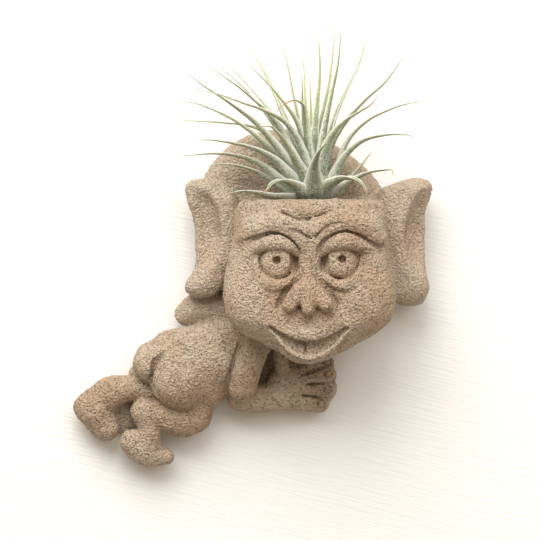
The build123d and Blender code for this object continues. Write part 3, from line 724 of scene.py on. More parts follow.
NOSE_HOLLOWS = [
    [(-0.052, 0.475, 0.9, 0.8), (-0.088, 0.53, 1.3, 2), (-0.14, 0.595, 1.5, 2.4), (-0.168, 0.66, 1.5, 2.2),
     (-0.15, 0.715, 1.2, 1)],
    [(0.04, 0.475, 0.9, 0.8), (0.074, 0.53, 1.3, 2), (0.126, 0.595, 1.5, 2.4), (0.153, 0.66, 1.5, 2.2),
     (0.138, 0.715, 1.2, 1)],
]
BULB, BULB_WIDTH = (-0.006, 0.566, 46.8), 1.3
NOSE_WINGS = [
    [(-0.036, 0.562, 46.8, 3.3), (-0.084, 0.604, 47.8, 3.1), (-0.112, 0.648, 48.8, 2.7)],
    [(0.028, 0.562, 46.8, 3.3), (0.068, 0.602, 47.8, 3.1), (0.098, 0.646, 48.8, 2.7)],
]
SEPTUM = [(-0.004, 0.605, 48.8, 3.2), (-0.002, 0.668, 49.4, 2.8)]
NOSTRILS = [
    [(-0.069, 0.715, 47.8, 1.5), (-0.062, 0.682, 49.6, 1.5), (-0.053, 0.646, 51.8, 0.9)],
    [(0.058, 0.715, 47.8, 1.5), (0.052, 0.684, 49.6, 1.5), (0.044, 0.65, 51.8, 0.9)],
]
MUZZLE = (0.0, 0.757, 42.4, (14.6, 5.2, 7.4))
PHILTRUM = (-0.021, 0.755, 49.2, (2.6, 3.0, 2.4))
UPPER_LIP_EDGE = [
    (-0.222, 0.774), (-0.18, 0.797), (-0.113, 0.836), (-0.046, 0.858), (0.015, 0.861), (0.089, 0.845),
    (0.156, 0.811), (0.213, 0.783),
]
UPPER_LIP = [
    (-0.175, 0.768, 43.6, 1.6), (-0.113, 0.797, 44.8, 2.2), (-0.046, 0.82, 45.4, 2.5),
    (0.015, 0.823, 45.4, 2.5), (0.089, 0.805, 44.8, 2.2), (0.165, 0.77, 43.6, 1.6),
]
LOWER_LIP_EDGE = [
    (0.2, 0.815), (0.168, 0.862), (0.109, 0.914), (0.042, 0.948), (-0.019, 0.955), (-0.079, 0.93),
    (-0.14, 0.884), (-0.178, 0.835),
]
LOWER_LIP_DEPTH, LIP_RADIUS = 45.0, 0.8
MOUTH_DROP, MOUTH_FRONT, MOUTH_ROUND = 1.9, 60.0, 0.5  # how the mouth is cut back
LIP_LOWER, LIP_DROP = 0.01, 0.6  # the lower lip's coil, from the mouth's edge
UNDER_LOWER, UNDER_DROP, UNDER_RADIUS = 0.006, 0.4, 0.9  # the groove under the upper lip
CHIN = (-0.001, 0.922, 40.0, (9.0, 5.4, 4.6))
TEETH = [
    [(-0.021, 0.872, 0.6, 1), (-0.021, 0.905, 0.7, 1.6), (-0.019, 0.94, 0.5, 0.8)],
    [(-0.067, 0.868, 0.4, 0.6), (-0.07, 0.905, 0.4, 0.6)],
]
CHIN_CREASE = [
    (-0.119, 0.934, 0.4, 0.15), (-0.066, 0.966, 0.5, 0.4), (-0.015, 0.978, 0.5, 0.5),
    (0.049, 0.972, 0.5, 0.4), (0.109, 0.945, 0.4, 0.15),
]


class HOLDER_OT_eyes(bpy.types.Operator):
    """Hollow the eye sockets, and set in the eyeballs and the lids"""

    bl_idname = "holder.eyes"
    bl_label = "Eyes"

    def execute(self, context):
        clay, head = bench["clay"], context.scene.holder_head
        ball, pupil = head.eyeball / MM, head.pupil / MM
        for valley in CHEEK_VALLEYS:
            clay.cut(pebble_at(on_head, *valley, *CHEEK_VALLEY), JOIN["valley"])
        for side, eye in EYES.items():
            clay.cut(pebble_at(on_head, *eye, *SOCKET), JOIN["socket"])
            clay.add(f"{side}_brow", head_roll(BROWS[side]), JOIN["brow"])
            x, z = on_head(*eye)
            edge = [(x + ball * math.cos(turn), z + ball * math.sin(turn)) for turn in TWELFTHS]
            eyeball = slab(edge, *EYEBALL_DEPTHS, ball * EYEBALL_ROUND)
            clay.add(f"{side}_eyeball", eyeball, JOIN["eyeball"])
            clay.add(f"{side}_lower_lid", head_roll(LOWER_LIDS[side]), JOIN["lower lid"])
            clay.cut(pebble_at(on_head, *EYE_CORNERS[side], *EYE_CORNER), JOIN["eye corner"])
            for groove in (EYE_GROOVES[side], LID_GROOVES[side]):
                clay.cut(scored(on_head, groove), JOIN["eye groove"])
            clay.add(f"{side}_upper_lid", head_roll(UPPER_LIDS[side]), JOIN["upper lid"])
            clay.cut(scored(on_head, BROW_CREASES[side]), JOIN["brow crease"])
            sight = [(*PUPILS[side], depth, pupil) for depth in PUPIL_DEPTHS]
            clay.cut(head_roll(sight), JOIN["pupil"])
        clay.cut(scored(on_head, WRINKLE), JOIN["wrinkle"])
        return {"FINISHED"}


class HOLDER_OT_forehead(bpy.types.Operator):
    """Pinch up the frown and the fold above it, and score the furrows"""

    bl_idname = "holder.forehead"
    bl_label = "Forehead"

    def execute(self, context):
        clay = bench["clay"]
        for cheek in CHEEKS:
            clay.add("head_pot", pebble_at(on_head, *cheek, *CHEEK), JOIN["cheek"])
        clay.add("frown_fold", laid_on(on_head, FROWN), JOIN["frown"])
        clay.cut(scored(on_head, FROWN_CREASE), JOIN["frown crease"])
        clay.add("frown_fold", laid_on(on_head, FURROW_FOLD), JOIN["fold"])
        clay.cut(scored(on_head, FURROW), JOIN["furrow"])
        return {"FINISHED"}


class HOLDER_OT_nose(bpy.types.Operator):
    """Model the nose from a coil, a ball and two smaller coils"""

    bl_idname = "holder.nose"
    bl_label = "Nose"

    def execute(self, context):
        clay, radius = bench["clay"], context.scene.holder_head.nose / MM
        clay.cut(pebble_at(on_head, *SADDLE), JOIN["saddle"])
        for side in NOSE_HOLLOWS:
            clay.cut(scored(on_head, side), JOIN["nose hollow"])
        clay.add("nose", head_roll(BRIDGE), JOIN["bridge"])
        bulb = pebble_at(on_head, *BULB, (radius * BULB_WIDTH, radius, radius))
        clay.add("nose", bulb, JOIN["nose"])
        for part in (*NOSE_WINGS, SEPTUM):
            clay.add("nose", head_roll(part), JOIN["nose"])
        for nostril in NOSTRILS:
            clay.cut(head_roll(nostril), JOIN["nostril"])
        return {"FINISHED"}


class HOLDER_OT_mouth(bpy.types.Operator):
    """Build out the upper lip, and cut the mouth back under it down to the lower lip"""

    bl_idname = "holder.mouth"
    bl_label = "Mouth"

    def execute(self, context):
        clay = bench["clay"]
        clay.add("upper_lip", pebble_at(on_head, *MUZZLE), JOIN["muzzle"])
        clay.add("upper_lip", head_roll(UPPER_LIP), JOIN["upper lip"])
        clay.add("lower_lip", pebble_at(on_head, *CHIN), JOIN["chin"])
        opening = [on_head(*place) for place in UPPER_LIP_EDGE + LOWER_LIP_EDGE]
        floor = LOWER_LIP_DEPTH - MOUTH_DROP
        clay.cut(slab(opening, floor, MOUTH_FRONT, MOUTH_ROUND), JOIN["mouth"])
        depth = LOWER_LIP_DEPTH - LIP_DROP
        lip = [(a, d + LIP_LOWER, depth, LIP_RADIUS) for a, d in LOWER_LIP_EDGE]
        clay.add("lower_lip", head_roll(lip), JOIN["lower lip"])
        clay.cut(scored(on_head, CHIN_CREASE), JOIN["chin crease"])
        depth = LOWER_LIP_DEPTH - UNDER_DROP
        under = [(a, d + UNDER_LOWER, depth, UNDER_RADIUS) for a, d in UPPER_LIP_EDGE]
        clay.cut(head_roll(under), JOIN["under lip"])
        for tooth in TEETH:
            clay.cut(scored(on_head, tooth), JOIN["tooth"])
        clay.cut(pebble_at(on_head, *PHILTRUM), JOIN["philtrum"])
        return {"FINISHED"}


# The body: rows are places on the figure, with a depth from the wall and a radius or radii.

TRUNK = [
    (0.505, 0.398, 10, 8), (0.445, 0.358, 9.5, 12.8), (0.37, 0.316, 10.5, 14.6), (0.298, 0.309, 10.5, 13.6),
]
TRUNK_PRESS = 0.82  # how thick the roll is, front to back, as a share of its width
FLANK = (0.379, 0.227, 9.5, (6, 8.5, 5.8))
BUTTOCKS = {"left": (0.2123, 0.31, 10.5, (5.8, 8.4, 7.6)), "right": (0.3, 0.257, 12.5, (10.8, 12.4, 11.4))}
CLEFT = [
    (0.266, 0.346, 0.6, 0.3), (0.249, 0.334, 1, 1.2), (0.234, 0.315, 1.3, 2.4), (0.226, 0.291, 1.5, 3.2),
    (0.224, 0.264, 1.5, 3.4), (0.229, 0.238, 1.4, 2.8), (0.241, 0.215, 1, 1.6),
]
LEFT_HIP = [(0.206, 0.274, 6, 4.2), (0.185, 0.277, 5.5, 4)]
LEFT_CALF = [
    (0.225, 0.226, 7, 3.8), (0.183, 0.232, 7.5, 4.4), (0.14, 0.232, 8.5, 5.4), (0.105, 0.222, 8.5, 6.2),
]
LEFT_FOOT = [
    [(0.105, 0.215, 7.5, 5.6), (0.066, 0.195, 7.5, 5.8), (0.035, 0.18, 7, 4.4)],
    [(0.066, 0.165, 7.5, 6.6), (0.092, 0.121, 7, 5.4)],
]
LEG_WEB = (0.142, 0.165, 1, (7.5, 4.6, 8.5))
RIGHT_THIGH = [
    (0.343, 0.149, 8.5, 5.6), (0.301, 0.142, 9.5, 6.6), (0.25, 0.158, 10, 5.8), (0.2, 0.168, 10, 4.6),
]
RIGHT_FOOT = [(0.172, 0.076, 8.5, 5.2), (0.205, 0.044, 8.2, 5.1), (0.262, 0.032, 7.4, 2.8)]
RIGHT_CALF = [(0.195, 0.166, 10.5, 4.6), (0.214, 0.12, 10.5, 4.4), (0.208, 0.075, 9.5, 5)]
HIP = (0.352, 0.186, 8.5, (5, 6.8, 6))
FAR_ARM = [(0.45, 0.478, 7, 6.4), (0.36, 0.474, 7, 6.3), (0.316, 0.455, 6.5, 4.4)]
UPPER_ARM = [
    (0.526, 0.405, 17, 5.4), (0.499, 0.335, 17.2, 5.5), (0.48, 0.284, 16.8, 5.6), (0.472, 0.24, 15, 5.6),
]
ARM_CREASE = [
    (0.47, 0.375, 0.5, 0.4), (0.4527, 0.334, 0.8, 1.4), (0.44, 0.296, 0.9, 1.8), (0.4286, 0.258, 0.9, 1.8),
    (0.426, 0.222, 0.6, 1),
]
FOREARM = [
    (0.472, 0.214, 9.5, 6), (0.517, 0.207, 8.5, 5.6), (0.566, 0.212, 8, 5.2), (0.59, 0.222, 7.8, 5.4),
]
WEB = (0.55, 0.3, 1, (12, 4.5, 13))
PALM = (0.602, 0.24, 7, (8.8, 5.6, 9))
FINGER_PAD = (0.666, 0.243, 4.8, (8.4, 5, 9.4))
FINGERS = {
    "finger_1": [(0.615, 0.286, 7, 2.9), (0.665, 0.3, 6.8, 2.6), (0.706, 0.3105, 6.2, 2.7)],
    "finger_2": [(0.62, 0.262, 7.2, 3), (0.665, 0.266, 7.2, 2.9), (0.709, 0.2735, 6.4, 3.2)],
    "finger_3": [(0.62, 0.231, 7.2, 3), (0.665, 0.231, 7.2, 2.9), (0.708, 0.23, 6.4, 3.2)],
    "finger_4": [(0.61, 0.198, 7, 3.3), (0.655, 0.192, 7, 2.9), (0.688, 0.1895, 6.2, 3)],
}
# Slots between the fingers, pressed in with a blade: their depth is where the blade's middle is.
FINGER_SLOTS = [
    [(0.626, 0.269, 9.8, 0.3), (0.668, 0.286, 9.4, 0.65), (0.717, 0.305, 9.2, 0.4)],
    [(0.643, 0.247, 10, 0.25), (0.672, 0.248, 9.8, 0.55), (0.698, 0.249, 9.4, 0.3)],
    [(0.628, 0.216, 10, 0.25), (0.66, 0.212, 9.8, 0.55), (0.696, 0.206, 9.4, 0.35)],
]
SLOT_PRESS = 4.0  # the same for the blade
NAILS = [(0.706, 0.313), (0.709, 0.279), (0.708, 0.233), (0.69, 0.188)]
NAIL_BED, NAIL_PLATE = (1.9, 1.2, 1.8), (1.2, 1.0, 1.1)  # the radii of what is cut and laid in
THUMB_GAP = (0.626, 0.315, 11.5, (3.6, 5, 2.8))
THUMB = [(0.59, 0.268, 8.5, 2.6), (0.581, 0.3, 11, 2.9), (0.576, 0.338, 12.5, 2.9)]


class HOLDER_OT_trunk(bpy.types.Operator):
    """Model the trunk and the rump, and part the buttocks"""

    bl_idname = "holder.trunk"
    bl_label = "Trunk"

    def execute(self, context):
        clay = bench["clay"]
        clay.add("torso", figure_roll(TRUNK, TRUNK_PRESS), JOIN["trunk"])
        clay.add("torso", pebble_at(on_figure, *FLANK), JOIN["flank"])
        for side, row in BUTTOCKS.items():
            clay.add(f"{side}_buttock", pebble_at(on_figure, *row), JOIN["buttock"])
        clay.cut(scored(on_figure, CLEFT), JOIN["cleft"])
        return {"FINISHED"}


class HOLDER_OT_legs(bpy.types.Operator):
    """Model the folded legs and the feet"""

    bl_idname = "holder.legs"
    bl_label = "Legs"

    def execute(self, context):
        clay = bench["clay"]
        for part in (LEFT_HIP, LEFT_CALF):
            clay.add("left_calf", figure_roll(part), JOIN["left calf"])
        for part in LEFT_FOOT:
            clay.add("left_foot", figure_roll(part), JOIN["left foot"])
        clay.add("left_foot", pebble_at(on_figure, *LEG_WEB), JOIN["left foot"])
        clay.add("right_thigh", figure_roll(RIGHT_THIGH), JOIN["thigh"])
        clay.add("right_foot", figure_roll(RIGHT_FOOT), JOIN["right leg"])
        clay.add("right_calf", figure_roll(RIGHT_CALF), JOIN["right leg"])
        clay.add("right_thigh", pebble_at(on_figure, *HIP), JOIN["hip"])
        return {"FINISHED"}


class HOLDER_OT_arms(bpy.types.Operator):
    """Model the arm that props the head and the far arm behind it"""

    bl_idname = "holder.arms"
    bl_label = "Arms"

    def execute(self, context):
        clay = bench["clay"]
        clay.add("far_arm", figure_roll(FAR_ARM), JOIN["arm"])
        clay.add("upper_arm", figure_roll(UPPER_ARM), JOIN["arm"])
        clay.cut(scored(on_figure, ARM_CREASE), JOIN["arm crease"])
        clay.add("forearm", figure_roll(FOREARM), JOIN["forearm"])
        return {"FINISHED"}


class HOLDER_OT_hand(bpy.types.Operator):
    """Model the palm, the fingers with their nails, and the thumb"""

    bl_idname = "holder.hand"
    bl_label = "Hand"

    def execute(self, context):
        clay = bench["clay"]
        for name, row in (("torso", WEB), ("forearm", PALM), ("forearm", FINGER_PAD)):
            clay.add(name, pebble_at(on_figure, *row), JOIN["palm"])
        for name, rows in FINGERS.items():
            clay.add(name, figure_roll(rows), JOIN["finger"])
        for slot in FINGER_SLOTS:
            clay.cut(figure_roll(slot, SLOT_PRESS), JOIN["slot"])
        for name, nail in zip(FINGERS, NAILS):
            x, z = on_figure(*nail)
            front = -clay.front(x, z)
            clay.cut(pebble((x, front, z), NAIL_BED), JOIN["nail"])
            clay.add(name, pebble((x, front, z), NAIL_PLATE), JOIN["nail"])
        clay.cut(pebble_at(on_figure, *THUMB_GAP), JOIN["thumb"])
        clay.add("thumb", figure_roll(THUMB), JOIN["thumb"])
        return {"FINISHED"}


# The back: the keyhole plate's clearance and corners, and where the bores start, in millimetres.
PLATE_GAP, PLATE_CORNER, BACK_START = 0.2, 1.5, 2.0
# The bores for the nail's head and for the plugs: radius and depth, and the sides they are on.
BORES = {"keyhole_hanger": (5.5, 5.2, (0,)), "screw_plugs": (2.2, 9.4, (-1, 1))}


def plate(low, high, depth, edge):
    """A straight-sided slot in the back, between two corners in the plane of the wall."""
    (left, bottom), (right, top) = low, high

    def distance(x, y, z):
        across = np.abs(x - (left + right) / 2) - (right - left) / 2 + edge
        up = np.abs(z - (bottom + top) / 2) - (top - bottom) / 2 + edge
        side = np.sqrt(np.maximum(across, 0) ** 2 + np.maximum(up, 0) ** 2) - edge
        side = side + np.minimum(np.maximum(across, up), 0)
        return np.maximum(side, -y - depth)

    return np.array([left, -depth, bottom]), np.array([right, BACK_START, top]), distance


class HOLDER_OT_recess(bpy.types.Operator):
    """Cut the back for the keyhole hanger, the nail's head and the screw plugs"""

    bl_idname = "holder.recess"
    bl_label = "Hanger recess"

    def execute(self, context):
        clay = bench["clay"]
        low, high = node_box("keyhole_hanger")
        low_corner, high_corner = low[[0, 2]] - PLATE_GAP, high[[0, 2]] + PLATE_GAP
        clay.cut(plate(low_corner, high_corner, -low[1], PLATE_CORNER), JOIN["plate"])
        for name, (radius, depth, sides) in BORES.items():
            low, high = node_box(name)
            middle, spread = (low + high) / 2, (high[0] - low[0]) / 2 - radius
            for side in sides:
                x, z = middle[0] + side * spread, middle[2]
                bore = roll([(x, BACK_START, z, radius), (x, radius - depth, z, radius)])
                clay.cut(bore, JOIN["bore"])
        return {"FINISHED"}


# The head's skin is too fine for one mesh, so it is parted: the axis, and where each part starts.
HEAD_PARTS = [("skull", 2, RIM_HEIGHT + 1.0), ("nape", 1, -22.0)]
# Lumps whose parts near the wall are painted paler, with less of the painted pit shade: painted light for
# the light that falls on the skull, the ears and the far arm from above.
LIT_LUMPS = ("left_ear", "right_ear", "head_pot", "skull", "nape", "far_arm")
LIT_LUMP_SHADE_SHARE = 0.4


class HOLDER_OT_fire(bpy.types.Operator):
    """Fire the clay: give each lump its own closed skin and the look of unglazed stoneware"""

    bl_idname = "holder.fire"
    bl_label = "Fire the figure"

    def execute(self, context):
        clay, settings = bench["clay"], context.scene.holder_clay
        clay.gap = np.maximum(clay.gap, clay.axes[1][None, :, None])
        for name, axis, start in HEAD_PARTS:
            beyond = clay.axes[axis] > start
            beyond = beyond[None, :, None] if axis == 1 else beyond[None, None, :]
            clay.lump[(clay.lump == clay.names.index("head_pot")) & beyond] = len(clay.names)
            clay.names.append(name)
        values = {
            "Dent Size": settings.dent_size, "Dent Depth": settings.dent_depth,
            "Grain Size": settings.grain_size, "Grain Depth": settings.grain_depth,
            "Pit Size": settings.pit_size, "Pit Depth": settings.pit_depth,
            "Sponged": 1.0, "Material": stoneware(),
        }
        tree = clay_skin_tree(values)
        for name in clay.names[1:]:
            points, quads = clay.piece(name)
            piece = new_piece(f"{name}_clay", points * MM, [], quads)
            # Painted light: lumps in the light are painted paler near the wall, with less painted pit
            # shade.
            sponged = LIT_LUMP_SHADE_SHARE if name in LIT_LUMPS else 1.0
            dress(piece, tree, {**values, "Sponged": sponged})
            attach(piece, "figure")
            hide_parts("head_pot" if name in ("skull", "nape") else name)
        return {"FINISHED"}


# Node trees

SOCKETS = {
    float: "NodeSocketFloat", int: "NodeSocketInt", bpy.types.Material: "NodeSocketMaterial",
}


class Wire:
    """A node's output, which sums can be written on."""

    def __init__(self, socket):
        self.socket = socket
        self.tree = socket.id_data

    def __add__(self, other):
        return maths("ADD", self, other)

    def __sub__(self, other):
        return maths("SUBTRACT", self, other)

    def __rsub__(self, other):
        return maths("SUBTRACT", other, self)

    def __mul__(self, other):
        return maths("MULTIPLY", self, other)

    __radd__, __rmul__ = __add__, __mul__


def connect(socket, value):
    """Gives an input a wire or a plain value."""
    if isinstance(value, Wire):
        value.tree.links.new(value.socket, socket)
    else:
        socket.default_value = value


def add_node(tree, kind, settings=None, out=0, **inputs):
    """Adds a node, sets its properties and its inputs, and gives one of its outputs."""
    node = tree.nodes.new(kind)
    for key, value in (settings or {}).items():
        setattr(node, key, value)
    for key, value in inputs.items():
        place = int(key[1:]) if key[1:].isdigit() else key.replace("_", " ")
        connect(node.inputs[place], value)
    return Wire(node.outputs[out])


def maths(operation, *values, kind="ShaderNodeMath"):
    """A sum on wires and plain values."""
    tree = next(value.tree for value in values if isinstance(value, Wire))
    inputs = {f"i{i}": value for i, value in enumerate(values)}
    return add_node(tree, kind, {"operation": operation}, **inputs)


def vectors(operation, *values):
    """A sum on vectors."""
    return maths(operation, *values, kind="ShaderNodeVectorMath")


def scaled(vector, factor):
    """A vector times a number."""
    settings = {"operation": "SCALE"}
    return add_node(vector.tree, "ShaderNodeVectorMath", settings, Vector=vector, Scale=factor)


def ramp(value, low, high):
    """A number's place between two others, from 0 to 1."""
    settings = {"interpolation_type": "SMOOTHSTEP"}
    return add_node(
        value.tree, "ShaderNodeMapRange", settings, Value=value, From_Min=low, From_Max=high
    )


def mixed(share, a, b):
    """A mix of two colours."""
    a, b = (value if isinstance(value, Wire) else (*value, 1.0) for value in (a, b))
    return add_node(share.tree, "ShaderNodeMix", {"data_type": "RGBA"}, 2, i0=share, i6=a, i7=b)


def noise(tree, scale, detail, **inputs):
    """A cloudy pattern."""
    return add_node(tree, "ShaderNodeTexNoise", Scale=scale, Detail=detail, **inputs)


def pattern(place, millimetres, detail):
    """A cloudy pattern that repeats every so many millimetres."""
    return noise(place.tree, per(millimetres), detail, Vector=place)


def per(millimetres):
    """The scale at which a pattern repeats every so many millimetres."""
    return 1 / (millimetres * MM)


def geometry_tree(name, values):
    """An empty geometry tree, and the wires on which the geometry and the values come in."""
    tree = bpy.data.node_groups.new(name, "GeometryNodeTree")
    kinds = {label: SOCKETS[type(value)] for label, value in values.items()}
    for label, kind in {"Geometry": "NodeSocketGeometry", **kinds}.items():
        tree.interface.new_socket(label, in_out="INPUT", socket_type=kind)
    tree.interface.new_socket("Geometry", in_out="OUTPUT", socket_type="NodeSocketGeometry")
    given = {socket.name: Wire(socket) for socket in tree.nodes.new("NodeGroupInput").outputs}
    return tree, given


def stored(geometry, name, value, kind="FLOAT"):
    """Stores a value on each point under a name."""
    settings = {"data_type": kind, "domain": "POINT"}
    return add_node(
        geometry.tree, "GeometryNodeStoreNamedAttribute", settings,
        Geometry=geometry, Name=name, Value=value,
    )


def named(tree, name, kind="FLOAT"):
    """Reads what is stored under a name."""
    return add_node(tree, "GeometryNodeInputNamedAttribute", {"data_type": kind}, Name=name)


def close_tree(geometry, material):
    """Ends a geometry tree with plain, smooth, finished faces."""
    tree = geometry.tree
    smooth = add_node(tree, "GeometryNodeSetShadeSmooth", Geometry=geometry)
    real = add_node(tree, "GeometryNodeRealizeInstances", Geometry=smooth)
    finished = add_node(tree, "GeometryNodeSetMaterial", Geometry=real, Material=material)
    connect(tree.nodes.new("NodeGroupOutput").inputs[0], finished)
    return tree


def new_piece(name, points, edges, faces):
    """A new object with a mesh of its own."""
    mesh = bpy.data.meshes.new(name)
    mesh.from_pydata(points, edges, faces)
    piece = bpy.data.objects.new(name, mesh)
    bpy.context.scene.collection.objects.link(piece)
    return piece


def dress(piece, tree, values):
    """Runs a geometry tree on a piece and keeps the result as its plain mesh."""
    modifier = piece.modifiers.new(tree.name, "NODES")
    modifier.node_group = tree
    for item in tree.interface.items_tree:
        if item.in_out == "INPUT" and item.name in values:
            modifier[item.identifier] = values[item.name]
    graph = bpy.context.evaluated_depsgraph_get()
    made = bpy.data.meshes.new_from_object(piece.evaluated_get(graph), depsgraph=graph)
    piece.modifiers.remove(modifier)
    piece.data = made
    made.name = piece.name


PIT_EDGE = (0.60, 0.78)  # where in its pattern a pit starts, and where it is at its deepest
BACK_DEPTHS = (-0.3 * MM, -2.5 * MM)  # the grain dies out between these, so the back stays flat
SHADE_SHARE_DEPTHS = (-24 * MM, -36 * MM)  # what stands out further keeps all its painted pit shade and no painted paling, on every lump


def clay_skin_tree(values):
    """Finger dents, grog and pits, pushed into the skin of a lump."""
    tree, given = geometry_tree("clay_skin", values)

    def bumps(kind, detail):
        return noise(tree, maths("DIVIDE", 1.0, given[f"{kind} Size"]), detail)

    dents = (bumps("Dent", 1.0) - 0.5) * (given["Dent Depth"] * 2.0)
    grain = (bumps("Grain", 2.0) - 0.5) * (given["Grain Depth"] * 2.0)
    pit = ramp(bumps("Pit", 1.5), *PIT_EDGE)
    place = add_node(tree, "GeometryNodeInputPosition")
    depth = add_node(tree, "ShaderNodeSeparateXYZ", out="Y", Vector=place)
    rise = (dents + grain - pit * given["Pit Depth"]) * ramp(depth, *BACK_DEPTHS)
    offset = scaled(add_node(tree, "GeometryNodeInputNormal"), rise)
    # Painted light and shade: the share of painted pit shade that a point keeps. Lumps in the light keep
    # less of it near the wall, and are painted paler there.
    sponged = given["Sponged"] + (1.0 - given["Sponged"]) * ramp(depth, *SHADE_SHARE_DEPTHS)
    # The pits are stored so that the material can paint their shade.
    marked = stored(stored(given["Geometry"], "pit", pit), "sponged", sponged)
    moved = add_node(tree, "GeometryNodeSetPosition", Geometry=marked, Offset=offset)
    return close_tree(moved, given["Material"])


def sweep_tree(values):
    """Sweeps a channelled section along each strand."""
    tree, given = geometry_tree("channelled_sweep", values)
    curve = add_node(tree, "GeometryNodeMeshToCurve", Mesh=given["Geometry"])
    curve = add_node(
        tree, "GeometryNodeResampleCurve", Curve=curve, Count=given["Points Along"]
    )
    for key, source in (("centre", "Position"), ("run", "Tangent")):
        source = add_node(tree, f"GeometryNodeInput{source}")
        curve = stored(curve, key, source, "FLOAT_VECTOR")
    around = given["Points Around"]
    ring = add_node(tree, "GeometryNodeCurvePrimitiveCircle", Resolution=around, Radius=MM)
    factor = add_node(tree, "GeometryNodeSplineParameter", out="Factor")
    ring = stored(ring, "turn", factor * (2 * math.pi))
    swept = add_node(
        tree, "GeometryNodeCurveToMesh", Curve=curve, Profile_Curve=ring, Fill_Caps=True
    )
    cosine, sine = (maths(kind, named(tree, "turn")) for kind in ("COSINE", "SINE"))
    side, centre, run = (named(tree, key, "FLOAT_VECTOR") for key in ("side", "centre", "run"))
    facing = vectors("NORMALIZE", vectors("CROSS_PRODUCT", run, side))
    width = named(tree, "wide") * given["Width"]
    thickness = named(tree, "thick") * given["Thickness"]
    waves = noise(tree, maths("DIVIDE", 1.0, given["Wobble Size"]), 1.0, Vector=centre)
    cup = width * given["Channel"] * (cosine * cosine - 0.5)
    lift = cup + (waves - 0.5) * given["Wobble"] + sine * thickness * 0.5
    across = vectors("ADD", centre, scaled(side, cosine * width * 0.5))
    place = vectors("ADD", across, scaled(facing, lift))
    marked = stored(swept, "margin", maths("ABSOLUTE", cosine))
    moved = add_node(tree, "GeometryNodeSetPosition", Geometry=marked, Position=place)
    return close_tree(moved, given["Material"])


# Materials

def new_material(name):
    """A material, and the coordinates of the piece that wears it."""
    material = bpy.data.materials.new(name)
    material.use_nodes = True
    return material, add_node(material.node_tree, "ShaderNodeTexCoord", out="Object")


def finished(material, **inputs):
    """Sets the inputs of a material's shader, and gives the material back."""
    shader = material.node_tree.nodes["Principled BSDF"]
    for key, value in inputs.items():
        connect(shader.inputs[key.replace("_", " ")], value)
    return material


def bump(height, distance, strength=1.0):
    """A relief that only the light sees."""
    return add_node(
        height.tree, "ShaderNodeBump", Height=height, Distance=distance, Strength=strength
    )


def attribute(tree, name):
    """A number stored on the piece."""
    return add_node(tree, "ShaderNodeAttribute", {"attribute_name": name}, "Fac")


# How many millimetres each of the clay's patterns spans.
PATCH, MOTTLE, GRIT, SPECK, PORE, PORE_BEND = 22, 3.2, 0.85, 0.45, 0.8, 1.1
# How much of each shows: the mottling, the light grit, specks, pits, the painted paling of lumps in the
# light, and all the painted shade in pits, pores and specks.
MOTTLING, GRITTY, SPECKED, PITTED, PAINTED_PALING, PIT_SHADE = 0.18, 0.5, 0.5, 0.4, 0.8, 0.52
# How unlike the pores are in width, how deep pores and specks go, and the relief in millimetres.
PORE_SPREAD, PORE_SUNK, SPECK_SUNK, CLAY_RELIEF = 0.42, 0.30, 0.15, 2.8


def stoneware():
    """Unglazed grogged stoneware, worked with a sponge before firing: dry and matt, open with small pits,
    warmer where the fire caught it, with whitish grains of grog in the skin. Its pits, pores and specks are
    painted dark as their shade, and the lumps in the light are painted paler near the wall."""
    clay = bpy.context.scene.holder_clay
    material, place = new_material("unglazed_grogged_stoneware")
    tree = place.tree
    patch, mottle, grit = (pattern(place, size, 3.0) for size in (PATCH, MOTTLE, GRIT))
    body = mixed(ramp(patch, 0.38, 0.62), clay.body, clay.warm)
    body = mixed(ramp(mottle, 0.42, 0.7) * MOTTLING, body, clay.pit)
    body = mixed(ramp(grit, 0.55, 0.75) * GRITTY, body, clay.grit_and_painted_light)
    bent = add_node(
        tree, "ShaderNodeTexNoise", out=1, Vector=place, Scale=per(PORE), Detail=1.0
    )
    shifted = vectors("ADD", place, vectors("MULTIPLY", bent, (PORE_BEND * MM,) * 3))
    cells, tint = (
        add_node(tree, "ShaderNodeTexVoronoi", out=out, Vector=shifted, Scale=per(PORE))
        for out in ("Distance", "Color")
    )
    pores = ramp(cells - ramp(tint, 0.35, 0.85) * PORE_SPREAD, 0.10, -0.06)
    specks = ramp(pattern(place, SPECK, 1.0), 0.57, 0.68) * SPECKED
    pits = attribute(tree, "pit") * PITTED
    sponged = attribute(tree, "sponged")
    # Painted light: lumps in the light are painted paler near the wall.
    body = mixed((1.0 - sponged) * PAINTED_PALING, body, clay.grit_and_painted_light)
    # Painted shade: pits, pores and specks are painted dark as the shade in them.
    pit_shade = maths("MAXIMUM", maths("MAXIMUM", pits, pores), specks) * sponged
    body = mixed(pit_shade * PIT_SHADE, body, clay.pit)
    relief = bump(grit - (pores * PORE_SUNK + specks * SPECK_SUNK), CLAY_RELIEF * MM)
    return finished(
        material, Base_Color=body, Normal=relief, Roughness=clay.roughness,
        Specular_IOR_Level=0.2,
    )


# How many millimetres the leaf's and the stub's patterns span, and how far bark is drawn out.
STREAK, FELT, FIBRE, FIBRE_STRETCH = 3.5, 0.42, 1.1, 0.22
# The felt: how thick it is at a leaf's base, how it thins to the tip and how it gathers at the
# margins, how streaked and how specked it is, and how much of a leaf a dry tip takes up.
FELT_BASE, FELT_THINS, FELT_MARGIN, STREAKED, SCALY, DRY_LENGTH = 0.56, 0.55, 5.0, 0.5, 2.2, 0.16


